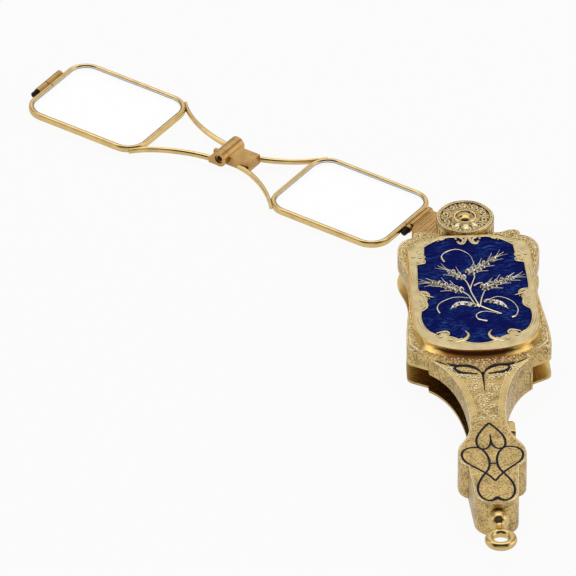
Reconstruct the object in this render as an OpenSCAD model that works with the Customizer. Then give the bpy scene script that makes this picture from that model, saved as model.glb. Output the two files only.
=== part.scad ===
// Folding lorgnette with a slotted case, an enamelled plaque and a sprung pair of lenses.
// The origin is on the main pivot axis at the underside of the back plate. The handle runs
// along -Y, the front faces +Z, and the lens pair stands open at open_angle from +X.

/* [Case] */
// Thickness of the thin back plate
back_t = 0.5; // [0.4:0.05:0.8]
// Height of the slot that takes the folded lenses
slot_h = 3.75; // [3.7:0.05:4.5]
// Thickness of the front block above the slot
front_h = 3.5; // [3:0.1:5]
// Thickness of the plate that closes the front block from below
liner_t = 0.65; // [0.5:0.05:0.8]
// Sheet thickness of the front cover
cover_wall = 0.8; // [0.5:0.05:1]
// Thickness of the engraved cover on the stem
stem_cover_t = 0.6; // [0.4:0.05:0.9]
// Thickness of the one side wall that closes the slot along the neck
neck_wall = 0.5; // [0.4:0.05:0.6]

/* [Case outline] */
// Distance from the pivot to the straight head edge
head_d = 4.1; // [3.5:0.1:4.6]
// Half width across the volutes beside the drum
volute_w = 10.7; // [10:0.1:11.5]
// Distance from the pivot to the notch under the volutes
notch_d = 5.1; // [4.8:0.1:5.6]
// Half width across the ears
ear_w = 14.1; // [13.5:0.1:15]
// Distance from the pivot to the widest point of the ears
ear_d = 10.2; // [9.5:0.1:11]
// Half width at the waist
waist_w = 12.6; // [12.4:0.1:13.4]
// Distance from the pivot to the waist
waist_d = 20; // [18:0.5:22]
// Half width across the shoulders
shoulder_w = 14.3; // [13.8:0.1:15]
// From the end of the stowed inner rim to the shoulder corners
shoulder_gap = 1.05; // [0.9:0.05:1.4]
// Half width of the neck where it leaves the shoulders
neck_w = 10.3; // [9.8:0.1:11]
// Length of the shoulders along the handle
shoulder_l = 3.3; // [3:0.1:3.8]
// Half width of the neck at its narrowest
narrow_w = 3.65; // [3.5:0.05:4]
// From the stowed bridge hinge to the narrowest point
narrow_l = 9.85; // [9:0.05:10.5]
// From the stowed bridge hinge to the closed end of the slot
slot_spare = 11.25; // [10.9:0.05:12]
// Half width across the lobes of the stem
lobe_w = 6.8; // [6.5:0.1:8]
// From the narrowest point to the widest point of the lobes
lobe_l = 13; // [12:0.1:14]
// Half width of the end section
end_w = 4.4; // [4.3:0.05:5]
// From the widest point of the lobes to the step above the end section
step_l = 4.1; // [3.7:0.1:4.6]
// Length of the end section
end_l = 12.9; // [12:0.1:14]

/* [Plaque] */
// Height of the plaque above the front
plaque_h = 1.25; // [1:0.05:1.6]
// Free length between the drum and the top edge of the plaque
plaque_gap = 0.8; // [0.6:0.05:1.2]
// How far the plaque reaches past the shoulders onto the neck
plaque_over = 0.2; // [0.1:0.05:0.3]
// Width of the front left free beside the plaque at the waist
plaque_margin = 0.3; // [0.2:0.05:0.5]
// Width of the plaque's border round the enamel
border_w = 1.4; // [1.2:0.05:1.6]
// Unit that the scrolls round the enamel are drawn in
scroll_unit = 1; // [0.95:0.01:1.05]
// Unit that the spray is drawn in
spray_unit = 1; // [0.9:0.01:1.05]
// Unit that the knot of lines on the stem is drawn in
knot_unit = 1; // [0.9:0.01:1.02]
// How far the cove under the plaque spreads at its foot
cove_spread = 1.7; // [1:0.1:2]
// Height of the lip that edges the plaque
lip_h = 0.35; // [0.25:0.05:0.5]
// How far the lip stands out over the cove
lip_out = 0.15; // [0.05:0.05:0.3]
// Depth of the recess for the enamel
recess_h = 0.55; // [0.4:0.05:0.7]
// Thickness of the enamel panel
enamel_t = 0.4; // [0.3:0.05:0.5]
// Height of the gold spray on the enamel
spray_h = 0.22; // [0.15:0.01:0.3]
// Radius of one rose-cut stone
stone_r = 0.42; // [0.3:0.02:0.46]
// Height of one rose-cut stone above its setting
stone_h = 0.35; // [0.25:0.05:0.5]
// Width of the inlaid enamel lines on the stem
line_w = 0.5; // [0.35:0.05:0.6]
// Depth of the inlaid enamel lines
line_depth = 0.25; // [0.15:0.05:0.4]

/* [Pivot drum] */
// Radius of the drum
drum_r = 5.8; // [5.5:0.1:6]
// Thickness of the drum wall
drum_wall = 0.7; // [0.5:0.05:0.8]
// Height of the drum top above the front of the case
drum_rise = 1.25; // [1:0.05:1.6]
// Thickness of the drum cap
cap_t = 0.55; // [0.45:0.05:0.7]
// Width of the cap's raised border
cap_border_w = 0.8; // [0.6:0.05:1]
// Width of the collar round the pivot screw
cap_collar_w = 1; // [0.8:0.05:1.1]
// Number of petals on the cap
petals = 12; // [8:1:14]
// Number of flutes round the drum
flutes = 40; // [24:1:48]
// Radius of the pivot post
post_r = 1.3; // [1.1:0.05:1.4]
// Running clearance between the post and what turns on it
run_gap = 0.03; // [0.02:0.01:0.08]
// Radius of the sleeve that winds the spring
arbor_r = 2.1; // [2:0.05:2.2]
// Thickness of the spring strip
strip_t = 0.16; // [0.1:0.01:0.2]
// Number of turns of the spring strip
strip_turns = 4; // [3:1:5]
// Radius of the domed screw head
dome_r = 1.95; // [1.7:0.05:2.05]
// Height of the domed screw head
dome_h = 0.9; // [0.7:0.05:1.1]
// Radius of the screw shank
shank_r = 0.7; // [0.6:0.05:0.8]

/* [Lenses] */
// Direction of the open lens pair, counted from +X
open_angle = 142.3; // [140:0.1:144]
// Half of the distance between the lens centres
half_pd = 29.35; // [29:0.05:29.6]
// Distance from the main pivot to the inner rim
arm_reach = 13.65; // [13.3:0.05:13.9]
// Half length of the lens opening
lens_a = 12.95; // [12.5:0.05:13]
// Half height of the lens opening
lens_b = 9.7; // [9:0.1:10]
// Corner radius of the lens opening
lens_r = 3.6; // [3:0.1:4.5]
// Width of the rim seen from the front
rim_w = 1.0; // [0.8:0.05:1]
// Height of the rim
rim_h = 1.5; // [1.3:0.05:1.5]
// Free height between the back plate and the rims
rim_lift = 0.1; // [0.08:0.01:0.15]
// Thickness of the lenses
lens_t = 1.0; // [0.8:0.05:1.2]
// Height of the bridge hinge axis above the middle of the rims
hinge_lift = 0.95; // [0.9:0.01:1]
// Outer radius of the bridge knuckles
knuckle_r = 1.65; // [1.5:0.05:1.65]
// Half length of the middle knuckle
knuckle_mid = 2.05; // [1.8:0.05:2.1]
// Half length of the whole barrel
knuckle_end = 3.4; // [3.2:0.05:3.5]
// Radius of the bridge hinge pin
pin_r = 0.6; // [0.5:0.05:0.7]
// Width of the bridge arms at the hinge
arm_w = 1.1; // [0.9:0.05:1.2]
// Width of the bridge arms at the rims
arm_tip_w = 0.8; // [0.7:0.05:0.9]
// Height of the bridge arms
arm_h = 1.2; // [1:0.05:1.3]
// Radius of the closing barrels beside the rims
barrel_r = 0.8; // [0.7:0.05:0.82]

/* [Release] */
// From the stowed bridge hinge to the middle of the push-piece
push_gap = 7.55; // [7.4:0.05:7.7]
// Travel of the push-piece
push_travel = 0.7; // [0.5:0.05:0.75]
// Length of the push-piece along the handle
push_l = 4.6; // [4:0.1:5]
// Height of the push-piece
push_h = 2.3; // [2:0.05:2.4]
// How far the push-piece stands out of the neck
push_out = 1.9; // [1.5:0.05:2.2]
// Thickness of the catch lever
catch_t = 1.0; // [0.8:0.05:1.1]

/* [Chain ring] */
// Height of the finial axis above the underside
finial_z = 4.95; // [4.9:0.05:5.4]
// Radius of the finial ball
ball_r = 2.1; // [1.8:0.05:2.3]
// From the end of the stem to the middle of the chain ring
finial_l = 8; // [7.6:0.1:8.6]
// Mean radius of the chain ring
ring_r = 2.3; // [2.2:0.05:2.6]
// Radius of the ring wire
wire_r = 0.9; // [0.85:0.05:1]
// Radius of the hole in the chain ring
ring_hole_r = 1.5; // [1.45:0.05:1.6]

/* [Hidden] */

gold = [0.86, 0.72, 0.42];
red_gold = [0.78, 0.57, 0.30];
fit_gap = 0.03;
overcut = 0.1;
case_h = back_t + slot_h + front_h;
slot_top = back_t + slot_h;
cover_z = slot_top + liner_t;
plaque_z = case_h + plaque_h;
drum_top = case_h + drum_rise;
cap_z = drum_top - 0.8;
rim_mid = back_t + rim_lift + rim_h / 2;
hinge_z = rim_mid + hinge_lift;
inner_d = arm_reach + rim_w + lens_a;
hinge_d = inner_d + half_pd;
outer_d = hinge_d + half_pd;
shoulder_d = inner_d + lens_a + rim_w + shoulder_gap;
neck_d = shoulder_d + shoulder_l;
narrow_d = hinge_d + narrow_l;
slot_end_d = hinge_d + slot_spare;
lobe_d = narrow_d + lobe_l;
step_d = lobe_d + step_l;
stem_end_d = step_d + end_l;
ring_d = stem_end_d + finial_l;
push_d = hinge_d + push_gap;
plaque_top_d = drum_r + plaque_gap;
plaque_low_d = neck_d + plaque_over;
plaque_w = waist_w - plaque_margin;
barrel_seat = 0.1;
inner_barrel_d = inner_d - lens_a - rim_w - barrel_r + barrel_seat;
outer_barrel_d = outer_d + lens_a + rim_w + barrel_r - barrel_seat;
split_y = 0.25;
split_w = 0.15;
recess_z = plaque_z - recess_h;
enamel_z = recess_z + enamel_t;
arm_z = rim_mid - arm_h / 2;

// A cubic curve through a and d with the handles b and c, without its last point.
function curve(a, b, c, d, n = 8) = [for (i = [0:n - 1]) let (t = i / n, s = 1 - t)
    a * s * s * s + 3 * b * s * s * t + 3 * c * s * t * t + d * t * t * t];
// The same curve with its last point.
function path(a, b, c, d, n = 8) = concat(curve(a, b, c, d, n), [d]);
function across(p, i) = let (d = p[min(i + 1, len(p) - 1)] - p[max(i - 1, 0)])
    [-d.y, d.x] / norm(d);
// The outline of a line along p that tapers from width w0 to w1.
function stroke(p, w0, w1) = let (n = len(p) - 1) concat(
    [for (i = [0:n]) p[i] + across(p, i) * (w0 + (w1 - w0) * i / n) / 2],
    [for (i = [n:-1:0]) p[i] - across(p, i) * (w0 + (w1 - w0) * i / n) / 2]);

module both_sides() { children(); mirror([1, 0, 0]) children(); }
// Closes a right-hand half outline with its mirror image.
module half_outline(p) {
    polygon(concat(p, [for (i = [len(p) - 1:-1:0]) if (p[i].x > 0) [-p[i].x, p[i].y]]));
}

module head_2d() {
    half_outline(concat(
        [[0, -head_d]],
        curve([volute_w - 4.7, -head_d], [volute_w - 3.2, -head_d], [volute_w - 2.8, -head_d + 1],
            [volute_w - 1.3, -head_d + 0.9], 5),
        curve([volute_w - 1.3, -head_d + 0.9], [volute_w - 0.2, -head_d + 0.8],
            [volute_w, -head_d + 0.1], [volute_w, -notch_d], 5),
        curve([volute_w, -notch_d], [ear_w - 1.6, -notch_d - 0.3], [ear_w, -ear_d + 3],
            [ear_w, -ear_d], 7),
        curve([ear_w, -ear_d], [ear_w, -ear_d - 3.6], [waist_w, -waist_d + 5],
            [waist_w, -waist_d], 8),
        curve([waist_w, -waist_d], [waist_w, -waist_d - 10], [shoulder_w, -shoulder_d + 9],
            [shoulder_w, -shoulder_d], 9),
        curve([shoulder_w, -shoulder_d], [shoulder_w, -shoulder_d - 1],
            [shoulder_w - 0.6, -shoulder_d - 1.4], [shoulder_w - 1.6, -shoulder_d - 2], 4),
        [[neck_w, -neck_d], [0, -neck_d]]));
}

module stem_2d() {
    half_outline(concat(
        [[0, -neck_d], [neck_w, -neck_d]],
        curve([neck_w, -neck_d - 1.4], [neck_w - 3.8, -neck_d - 4.6], [narrow_w + 0.4, -narrow_d + 10],
            [narrow_w, -narrow_d], 12),
        curve([narrow_w, -narrow_d], [narrow_w - 0.2, -narrow_d - 9], [lobe_w, -lobe_d + 5],
            [lobe_w, -lobe_d], 10),
        curve([lobe_w, -lobe_d], [lobe_w, -step_d + 1.2], [lobe_w - 1.2, -step_d + 0.4],
            [end_w, -step_d], 6),
        curve([end_w, -stem_end_d + end_w], [end_w, -stem_end_d + 0.45 * end_w],
            [0.55 * end_w, -stem_end_d], [0, -stem_end_d], 9),
        [[0, -stem_end_d]]));
}

module case_2d() { head_2d(); stem_2d(); }

module plaque_2d() {
    half_outline(concat(
        [[0, -plaque_top_d]],
        curve([plaque_w - 7.3, -plaque_top_d], [plaque_w - 4, -plaque_top_d - 2],
            [plaque_w, -plaque_top_d - 1.6], [plaque_w, -plaque_top_d - 6.4], 8),
        curve([plaque_w, -plaque_low_d + 10], [plaque_w, -plaque_low_d + 3],
            [plaque_w - 5, -plaque_low_d], [0, -plaque_low_d], 12)));
}

// A point of the plaque's ornament, from its top edge or its bottom edge.
function from_top(x, y) = [x, -plaque_top_d - scroll_unit * y];
function from_foot(x, y) = [x, -plaque_low_d + scroll_unit * y];

// The outline of the enamel, with gold scrolls standing into it round its edge.
module field_2d() {
    u = scroll_unit;
    field_w = plaque_w - border_w;
    difference() {
        half_outline(concat(
            [from_top(0, 0.7)],
            curve(from_top(3.6 * u, 0.5), from_top(6.2 * u, 0.9), from_top(field_w - 2.7 * u, 2.6),
                from_top(field_w - 1.5 * u, 4.2), 8),
            [from_top(field_w - 1.5 * u, 9.3)],
            curve(from_top(field_w - 0.2 * u, 9.7), from_top(field_w, 14),
                from_top(field_w + 0.2 * u, 17), from_top(field_w + 0.1 * u, 19.6), 5),
            curve(from_foot(field_w - 1.2 * u, 15.6), from_foot(field_w + 0.9 * u, 14),
                from_foot(field_w + 0.5 * u, 8), from_foot(field_w - 1.9 * u, 6), 10),
            curve(from_foot(field_w - 2.9 * u, 5.2), from_foot(5 * u, 5.4),
                from_foot(4 * u, 3.4), from_foot(2.6 * u, 2.8), 6),
            [from_foot(0, 2.2)]));
        both_sides() {
            polygon(stroke(path(from_top(0.2 * u, 0), from_top(0.6 * u, 3.4),
                from_top(1.6 * u, 3.4), from_top(2.1 * u, 2), 8), 0.5 * u, 0.25 * u));
            translate(from_top(field_w - u, 5.4)) circle(r = 0.85 * u, $fn = 20);
            translate(from_top(field_w - 1.2 * u, 7)) circle(r = 0.75 * u, $fn = 20);
            translate(from_top(field_w - 1.2 * u, 8.6)) circle(r = 0.8 * u, $fn = 20);
            translate(from_top(field_w, 21.6)) circle(r = 1.5 * u, $fn = 24);
            polygon(stroke(path(from_top(field_w, 19.2), from_top(field_w - 1.6 * u, 18.9),
                from_top(field_w - 2.2 * u, 19.9), from_top(field_w - 1.7 * u, 20.9), 6),
                0.6 * u, 0.3 * u));
            polygon(stroke(path(from_foot(3.6 * u, 2.2), from_foot(1.8 * u, 2.6),
                from_foot(0.9 * u, 4.6), from_foot(1.5 * u, 6.4), 8), u, 0.35 * u));
            translate(from_foot(6.9 * u, 5.2)) circle(r = 0.9 * u, $fn = 20);
        }
    }
}

// A point of the stem's ornament: on the arch at the top of the neck, or on the knot below.
function on_arch(x, y) = [knot_unit * x, -neck_d - knot_unit * y];
function on_knot(x, y) = [knot_unit * x, -narrow_d - knot_unit * y];

// The knot of inlaid lines on the stem.
module tracery_2d() {
    polygon(stroke([on_arch(0, 4.6), on_arch(0, 13)], 1.4 * line_w, 0.1));
    polygon(stroke([on_knot(0, 6.4), on_knot(0, 9)], line_w / 2, line_w));
    polygon(stroke([on_knot(-0.7, 16.1), on_knot(0.7, 16.1)], line_w, line_w));
    both_sides() {
        for (p = [
            path(on_arch(0, 7), on_arch(0.6, 3.4), on_arch(5, 4), on_arch(8.6, 1.9), 12),
            path(on_arch(4.2, 3.6), on_arch(6.6, 4), on_arch(5.2, 6.1), on_arch(1.1, 6.5), 10),
            path(on_knot(0, 2.4), on_knot(1.6, 4.8), on_knot(3.2, 7), on_knot(2.8, 9.7)),
            path(on_knot(2.8, 9.7), on_knot(2.5, 11.8), on_knot(0.3, 12), on_knot(0, 8.6)),
            path(on_knot(2.4, 10.8), on_knot(4.2, 10), on_knot(6.4, 11.2), on_knot(6, 13.8)),
            path(on_knot(6, 13.8), on_knot(5.6, 16.8), on_knot(2.2, 17.4), on_knot(0, 22.1)),
            path(on_knot(2.4, 10.8), on_knot(0.6, 12.6), on_knot(0.2, 16.6), on_knot(1.5, 18.9)),
            path(on_knot(1.5, 18.9), on_knot(2.6, 20.8), on_knot(3.9, 23), on_knot(3.6, 25.6)),
            path(on_knot(3.6, 25.6), on_knot(3.2, 28.9), on_knot(0.8, 29.4), on_knot(0, 27.8))])
            polygon(stroke(p, line_w, line_w));
    }
}

// A point of the spray, from its foot.
function on_spray(x, y) = [spray_unit * (0.9 + x), -plaque_low_d + 14.8 * scroll_unit + spray_unit * y];
// Where each ear of wheat starts, its direction, length and number of stone pairs.
ears = [[on_spray(-2.1, 12.5), 34, 6.8, 5], [on_spray(1, 6.7), 32, 6.6, 5],
    [on_spray(-3.6, 6.2), 153, 6.6, 5], [on_spray(-2.7, 10.1), 134, 3.2, 2]];
stems = [
    path(on_spray(0, 0), on_spray(-1.3, 3.3), on_spray(-2.3, 7.3), on_spray(-0.3, 12.9), 12),
    path(on_spray(0, 0), on_spray(0.2, 2.8), on_spray(0.5, 4.7), on_spray(1.5, 6.4), 8),
    path(on_spray(0, 0), on_spray(-1.5, 1.9), on_spray(-1.9, 4.5), on_spray(-4.1, 6.1), 8),
    path(on_spray(-1.4, 5.7), on_spray(-1.7, 7.7), on_spray(-2.1, 9.1), on_spray(-3.3, 10.7), 8),
    path(on_spray(-6, 15.7), on_spray(-7.9, 19.9), on_spray(-1.1, 23.1), on_spray(-0.3, 13.7), 16),
    path(on_spray(-8.1, -1.9), on_spray(-10.1, 1.5), on_spray(-4.5, 5.1), on_spray(-1.3, 2.9), 14),
    path(on_spray(1.4, 2.1), on_spray(4.7, 5.7), on_spray(10.5, -2.1), on_spray(6, -3.9), 16),
    path(on_spray(-0.9, 1.3), on_spray(1.5, -1.1), on_spray(3.1, -2.3), on_spray(4.1, -2.5), 8),
    path(on_spray(3.9, -2.7), on_spray(-2.5, 0.1), on_spray(-2.3, -5.1), on_spray(1.2, -4.9), 14)];
leaves = [[on_spray(-0.5, 0.4), 168, 4.6], [on_spray(1, 2), 330, 4.4]];
wire_w = 0.3 * spray_unit;

module wheat_2d() {
    u = spray_unit;
    for (s = stems) polygon(stroke(s, wire_w, wire_w));
    for (e = ears) translate(e[0]) rotate(e[1]) {
        polygon(stroke([[0, 0], [e[2] * u, 0]], wire_w, wire_w));
        for (side = [-1, 1], i = [1:e[3]])
            let (x = u * e[2] * (i - 0.5) / e[3])
            polygon(stroke(path([x, 0.5 * u * side], [x + 0.8 * u, 1.1 * u * side],
                [x + 1.6 * u, 1.7 * u * side], [x + 3 * u, 2.1 * u * side], 4), wire_w, wire_w / 3));
        polygon(stroke([[e[2] * u, 0], [(e[2] + 3) * u, 0.3 * u]], wire_w, wire_w / 3));
    }
    for (l = leaves) translate(l[0]) rotate(l[1]) let (len = l[2] * u)
        polygon(stroke(path([0, 0], [len * 0.3, u], [len * 0.7, 0.9 * u], [len + 0.9 * u, -0.6 * u], 6),
            3 * wire_w, wire_w / 2));
}

module stone() {
    cylinder(r1 = stone_r, r2 = 0.6 * stone_r, h = 0.6 * stone_h, $fn = 6);
    translate([0, 0, 0.6 * stone_h]) cylinder(r1 = 0.6 * stone_r, r2 = 0.12, h = 0.4 * stone_h, $fn = 6);
}

module drum_seat() {
    translate([0, 0, cover_z]) cylinder(r = drum_r + fit_gap, h = drum_top, $fn = 96);
}

module back_plate() {
    color(gold) linear_extrude(back_t) {
        case_2d();
        circle(r = drum_r, $fn = 96);
    }
}

// The plate under the front block ends in a round tongue that carries the drum.
module liner_plate() {
    color(gold) translate([0, 0, slot_top]) linear_extrude(liner_t) difference() {
        union() { head_2d(); circle(r = drum_r, $fn = 96); }
        circle(r = arbor_r + run_gap, $fn = 64);
    }
}

module front_cover() {
    color(gold) difference() {
        translate([0, 0, cover_z]) linear_extrude(case_h - cover_z) head_2d();
        translate([0, 0, cover_z - overcut])
            linear_extrude(case_h - cover_wall - cover_z + overcut)
            offset(delta = -cover_wall) difference() {
                head_2d();
                circle(r = drum_r, $fn = 96);
            }
        drum_seat();
    }
}

module slot_2d() {
    difference() {
        union() {
            intersection() {
                offset(delta = -neck_wall) stem_2d();
                translate([-ear_w, -slot_end_d]) square([2 * ear_w, slot_end_d]);
            }
            translate([-ear_w, -slot_end_d]) square([ear_w, slot_end_d - neck_d + 2]);
            translate([-ear_w, -neck_d - 2]) square([ear_w + neck_w - neck_wall, 4]);
        }
        translate([push_boss_x, -push_d - push_l / 2 - 0.5]) square([ear_w, push_l + 1]);
    }
}

neck_at_push = narrow_w + 0.05;
push_boss_x = 1.2;
pocket_floor = push_boss_x + 0.75;
push_inner = pocket_floor + push_travel + fit_gap;
push_z = back_t + slot_h / 2;
push_bore_r = 0.8;
push_shank_r = 0.35;

module push_2d(grow) {
    offset(r = push_h / 2 - 0.05 + grow, $fn = 32)
        square([0.1, push_l - push_h + 0.1], center = true);
}

// Sets its children on the axis of the push-piece, with their +Z along +X.
module on_push_axis(x) {
    translate([x, -push_d, push_z]) rotate([0, 90, 0]) children();
}

// The piece between the plates closes the slot below and along the right of the neck.
module stem_spacer() {
    color(gold) difference() {
        translate([0, 0, back_t]) linear_extrude(slot_h) difference() { stem_2d(); slot_2d(); }
        on_push_axis(pocket_floor) linear_extrude(lobe_w) push_2d(fit_gap);
        on_push_axis(push_boss_x - overcut) cylinder(r = push_shank_r + fit_gap, h = 2, $fn = 24);
    }
}

module stem_block() {
    color(gold) difference() {
        translate([0, 0, slot_top]) linear_extrude(case_h - stem_cover_t - slot_top) stem_2d();
        translate([0, -stem_end_d + spigot_l, finial_z]) rotate([90, 0, 0])
            cylinder(r = spigot_r + fit_gap, h = 2 * spigot_l, $fn = 32);
    }
}

module stem_cover() {
    color(gold) difference() {
        translate([0, 0, case_h - stem_cover_t]) linear_extrude(stem_cover_t) stem_2d();
        translate([0, 0, case_h - line_depth]) linear_extrude(1) tracery_2d();
    }
}

module tracery_inlay() {
    color([0.05, 0.05, 0.16]) translate([0, 0, case_h - line_depth])
        linear_extrude(line_depth) tracery_2d();
}

cove_steps = 8;
module plaque_frame() {
    cove_h = plaque_h - lip_h;
    color(gold) difference() {
        union() {
            translate([0, 0, plaque_z - lip_h]) linear_extrude(lip_h)
                offset(delta = lip_out) plaque_2d();
            for (i = [0:cove_steps - 1])
                let (rest = 1 - (i + 0.5) / cove_steps)
                translate([0, 0, case_h + i * cove_h / cove_steps])
                linear_extrude(cove_h / cove_steps) intersection() {
                    offset(delta = cove_spread * rest * rest) plaque_2d();
                    case_2d();
                }
        }
        translate([0, 0, recess_z]) linear_extrude(plaque_h) field_2d();
        drum_seat();
    }
}

module enamel_panel() {
    color([0.06, 0.12, 0.5]) translate([0, 0, recess_z]) linear_extrude(enamel_t)
        offset(delta = -fit_gap) field_2d();
}

module wheat_spray() {
    color([0.93, 0.85, 0.62]) translate([0, 0, enamel_z]) linear_extrude(spray_h)
        intersection() {
            union() {
                wheat_2d();
                for (p = stone_places) translate(p) circle(r = stone_r + 0.08, $fn = 12);
            }
            offset(delta = -0.1) field_2d();
        }
}

// A place on the spray at distance x and offset y along the direction a from the point p.
function along(p, a, x, y) = p + spray_unit * [x * cos(a) - y * sin(a), x * sin(a) + y * cos(a)];
// The middle of every stone: pairs along each ear, one at its tip, and a row on each leaf.
stone_places = concat(
    [for (e = ears, side = [-1, 1], i = [1:e[3]])
        along(e[0], e[1], e[2] * (i - 0.5) / e[3], 0.5 * side)],
    [for (e = ears) along(e[0], e[1], e[2] + 0.15, 0)],
    [for (l = leaves, i = [0:3]) along(l[0], l[1], 0.8 + i * l[2] / 4.4, 0.55 - 0.05 * i * i)]);

module rose_stones() {
    color([0.9, 0.92, 0.95]) translate([0, 0, enamel_z + spray_h])
        for (p = stone_places) translate(p) stone();
}

module drum_housing() {
    color(gold) difference() {
        translate([0, 0, cover_z]) cylinder(r = drum_r, h = cap_z - cover_z, $fn = 96);
        translate([0, 0, cover_z - overcut])
            cylinder(r = drum_r - drum_wall, h = cap_z - cover_z + 2 * overcut, $fn = 96);
        for (i = [0:flutes - 1]) rotate(360 * i / flutes)
            translate([drum_r + 0.1, 0, cover_z + 0.4])
            cylinder(r = 0.26, h = cap_z - cover_z - 0.8, $fn = 16);
    }
}

// The cap has a raised border, a collar round the screw and a ring of petals between them.
module drum_cap() {
    collar_in = dome_r + 0.2;
    collar_out = collar_in + cap_collar_w;
    band_out = drum_r - cap_border_w;
    color(gold) {
        rotate_extrude($fn = 96) difference() {
            translate([shank_r + 0.08, cap_z]) square([drum_r - shank_r - 0.08, drum_top - cap_z]);
            translate([0, cap_z + cap_t]) square([collar_in, 1]);
            translate([collar_out, cap_z + cap_t]) square([band_out - collar_out, 1]);
            translate([drum_r, drum_top]) rotate(45) square(0.35, center = true);
        }
        for (i = [0:petals - 1]) rotate(360 * i / petals)
            translate([(collar_out + band_out) / 2, 0, cap_z + cap_t])
            cylinder(r = (band_out - collar_out) / 2 - 0.15, h = (drum_top - cap_z - cap_t) / 2, $fn = 20);
    }
}

dome_z = cap_z + cap_t;
dome_ball = (dome_r * dome_r + dome_h * dome_h) / (2 * dome_h);
module pivot_screw() {
    color(red_gold) difference() {
        union() {
            intersection() {
                translate([0, 0, dome_z + dome_h - dome_ball]) sphere(r = dome_ball, $fn = 96);
                translate([0, 0, dome_z]) cylinder(r = 2 * dome_r, h = 2 * dome_h, $fn = 48);
            }
            translate([0, 0, cap_z - 2.6]) cylinder(r = shank_r, h = 2.6 + cap_t, $fn = 40);
        }
        for (side = [-1, 1]) rotate(35) translate([0.98 * side, 0, dome_z + dome_h - 0.5])
            cylinder(r = 0.26, h = 1, $fn = 20);
    }
}

module pivot_post() {
    color(red_gold) difference() {
        union() {
            translate([0, 0, back_t]) cylinder(r = post_r, h = cap_z - back_t, $fn = 64);
            translate([0, 0, back_t]) cylinder(r = post_r + 0.6, h = 0.35, $fn = 64);
        }
        translate([0, 0, cap_z - 2.8]) cylinder(r = shank_r + 0.01, h = 3, $fn = 40);
    }
}

// A flat spring wound in the drum round the sleeve.
module swing_spring() {
    inner = arbor_r + 0.25;
    outer = drum_r - drum_wall - 0.15;
    turn = [for (i = [0:24 * strip_turns]) let (a = 15 * i,
        r = inner + (outer - inner) * i / (24 * strip_turns)) r * [cos(a), sin(a)]];
    color([0.45, 0.47, 0.52]) translate([0, 0, cover_z + 0.25])
        linear_extrude(cap_z - cover_z - 0.5) polygon(stroke(turn, strip_t, strip_t));
}

module spring_arbor() {
    color(red_gold) translate([0, 0, slot_top - fit_gap]) difference() {
        cylinder(r = arbor_r, h = cap_z - slot_top - fit_gap, $fn = 64);
        translate([0, 0, -overcut]) cylinder(r = post_r + run_gap, h = front_h + 2, $fn = 64);
    }
}

// Sets its children in the lens pair's own frame: +X away from the pivot, +Y the near side.
module opened() { rotate(open_angle) children(); }
// An axis along the lens pair's +Y at distance d and height z, starting at y.
module side_axis(d, y, z) { translate([d, y, z]) rotate([-90, 0, 0]) children(); }

module lens_arm() {
    low = back_t + 0.06;
    disc_h = slot_h - 0.12;
    color(red_gold) opened() difference() {
        union() {
            translate([0, 0, low]) cylinder(r = drum_r - 0.4, h = disc_h, $fn = 96);
            intersection() {
                translate([0, 0, low]) linear_extrude(disc_h)
                    polygon([[2, -lug_w / 2], [lug_start + 1.8, -lug_w / 2 - 1.3],
                        [inner_barrel_d, -lug_w / 2 - 2.2], [inner_barrel_d, split_y - 0.1],
                        [lug_end, split_y], [lug_end - 0.8, lug_w / 2 - 1.2], [2, lug_w / 2]]);
                translate([0, -ear_w, 0]) rotate([-90, 0, 0]) linear_extrude(2 * ear_w)
                    polygon([for (p = lug_profile) [p.x, -p.y]]);
            }
        }
        translate([0, 0, low - overcut]) cylinder(r = post_r + run_gap, h = slot_h, $fn = 64);
        translate([0, 0, low - overcut]) cylinder(r = post_r + 0.66, h = 0.35 + overcut, $fn = 64);
        side_axis(inner_barrel_d, -ear_w, rim_mid) cylinder(r = barrel_r + 0.01, h = 2 * ear_w, $fn = 32);
    }
}
lug_w = 6.8;
lug_low = 2.35;
lug_start = drum_r - 0.2;
lug_end = inner_barrel_d - barrel_r - 0.15;
lug_steps = 4;
// The lug steps down from the disc to the rim in ridges.
lug_profile = concat([[0, 0], [0, slot_top], [lug_start, slot_top - 0.1]],
    [for (i = [1:lug_steps], side = [0, 1])
        [lug_start + (lug_end - 0.9 - lug_start) * i / lug_steps + 0.15 * side,
            slot_top - 0.1 - (slot_top - 0.5 - lug_low) * (i - 0.4 * (1 - side)) / lug_steps]],
    [[lug_end, lug_low], [inner_barrel_d, lug_low], [inner_barrel_d, 0]]);

// The outline of the lens opening, grown by a distance.
module lens_2d(grow) {
    a = lens_a + grow;
    b = lens_b + grow;
    r = lens_r + grow;
    square([2 * (a - r), 2 * b], center = true);
    square([2 * a, 2 * (b - r)], center = true);
    for (x = [-1, 1], y = [-1, 1]) translate([x * (a - r), y * (b - r)]) circle(r = r, $fn = 64);
}

groove_h = 0.5;
groove_w = 0.35;
// The section of the rim wire: rounded at the top and the bottom, with a groove for the lens.
module wire_2d() {
    difference() {
        union() {
            for (end = [-1, 1]) translate([rim_w / 2, end * (rim_h - rim_w) / 2])
                circle(r = rim_w / 2, $fn = 32);
            translate([0, (rim_w - rim_h) / 2]) square([rim_w, rim_h - rim_w]);
        }
        translate([-1, -groove_h / 2]) square([1 + groove_w, groove_h]);
    }
}

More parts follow.
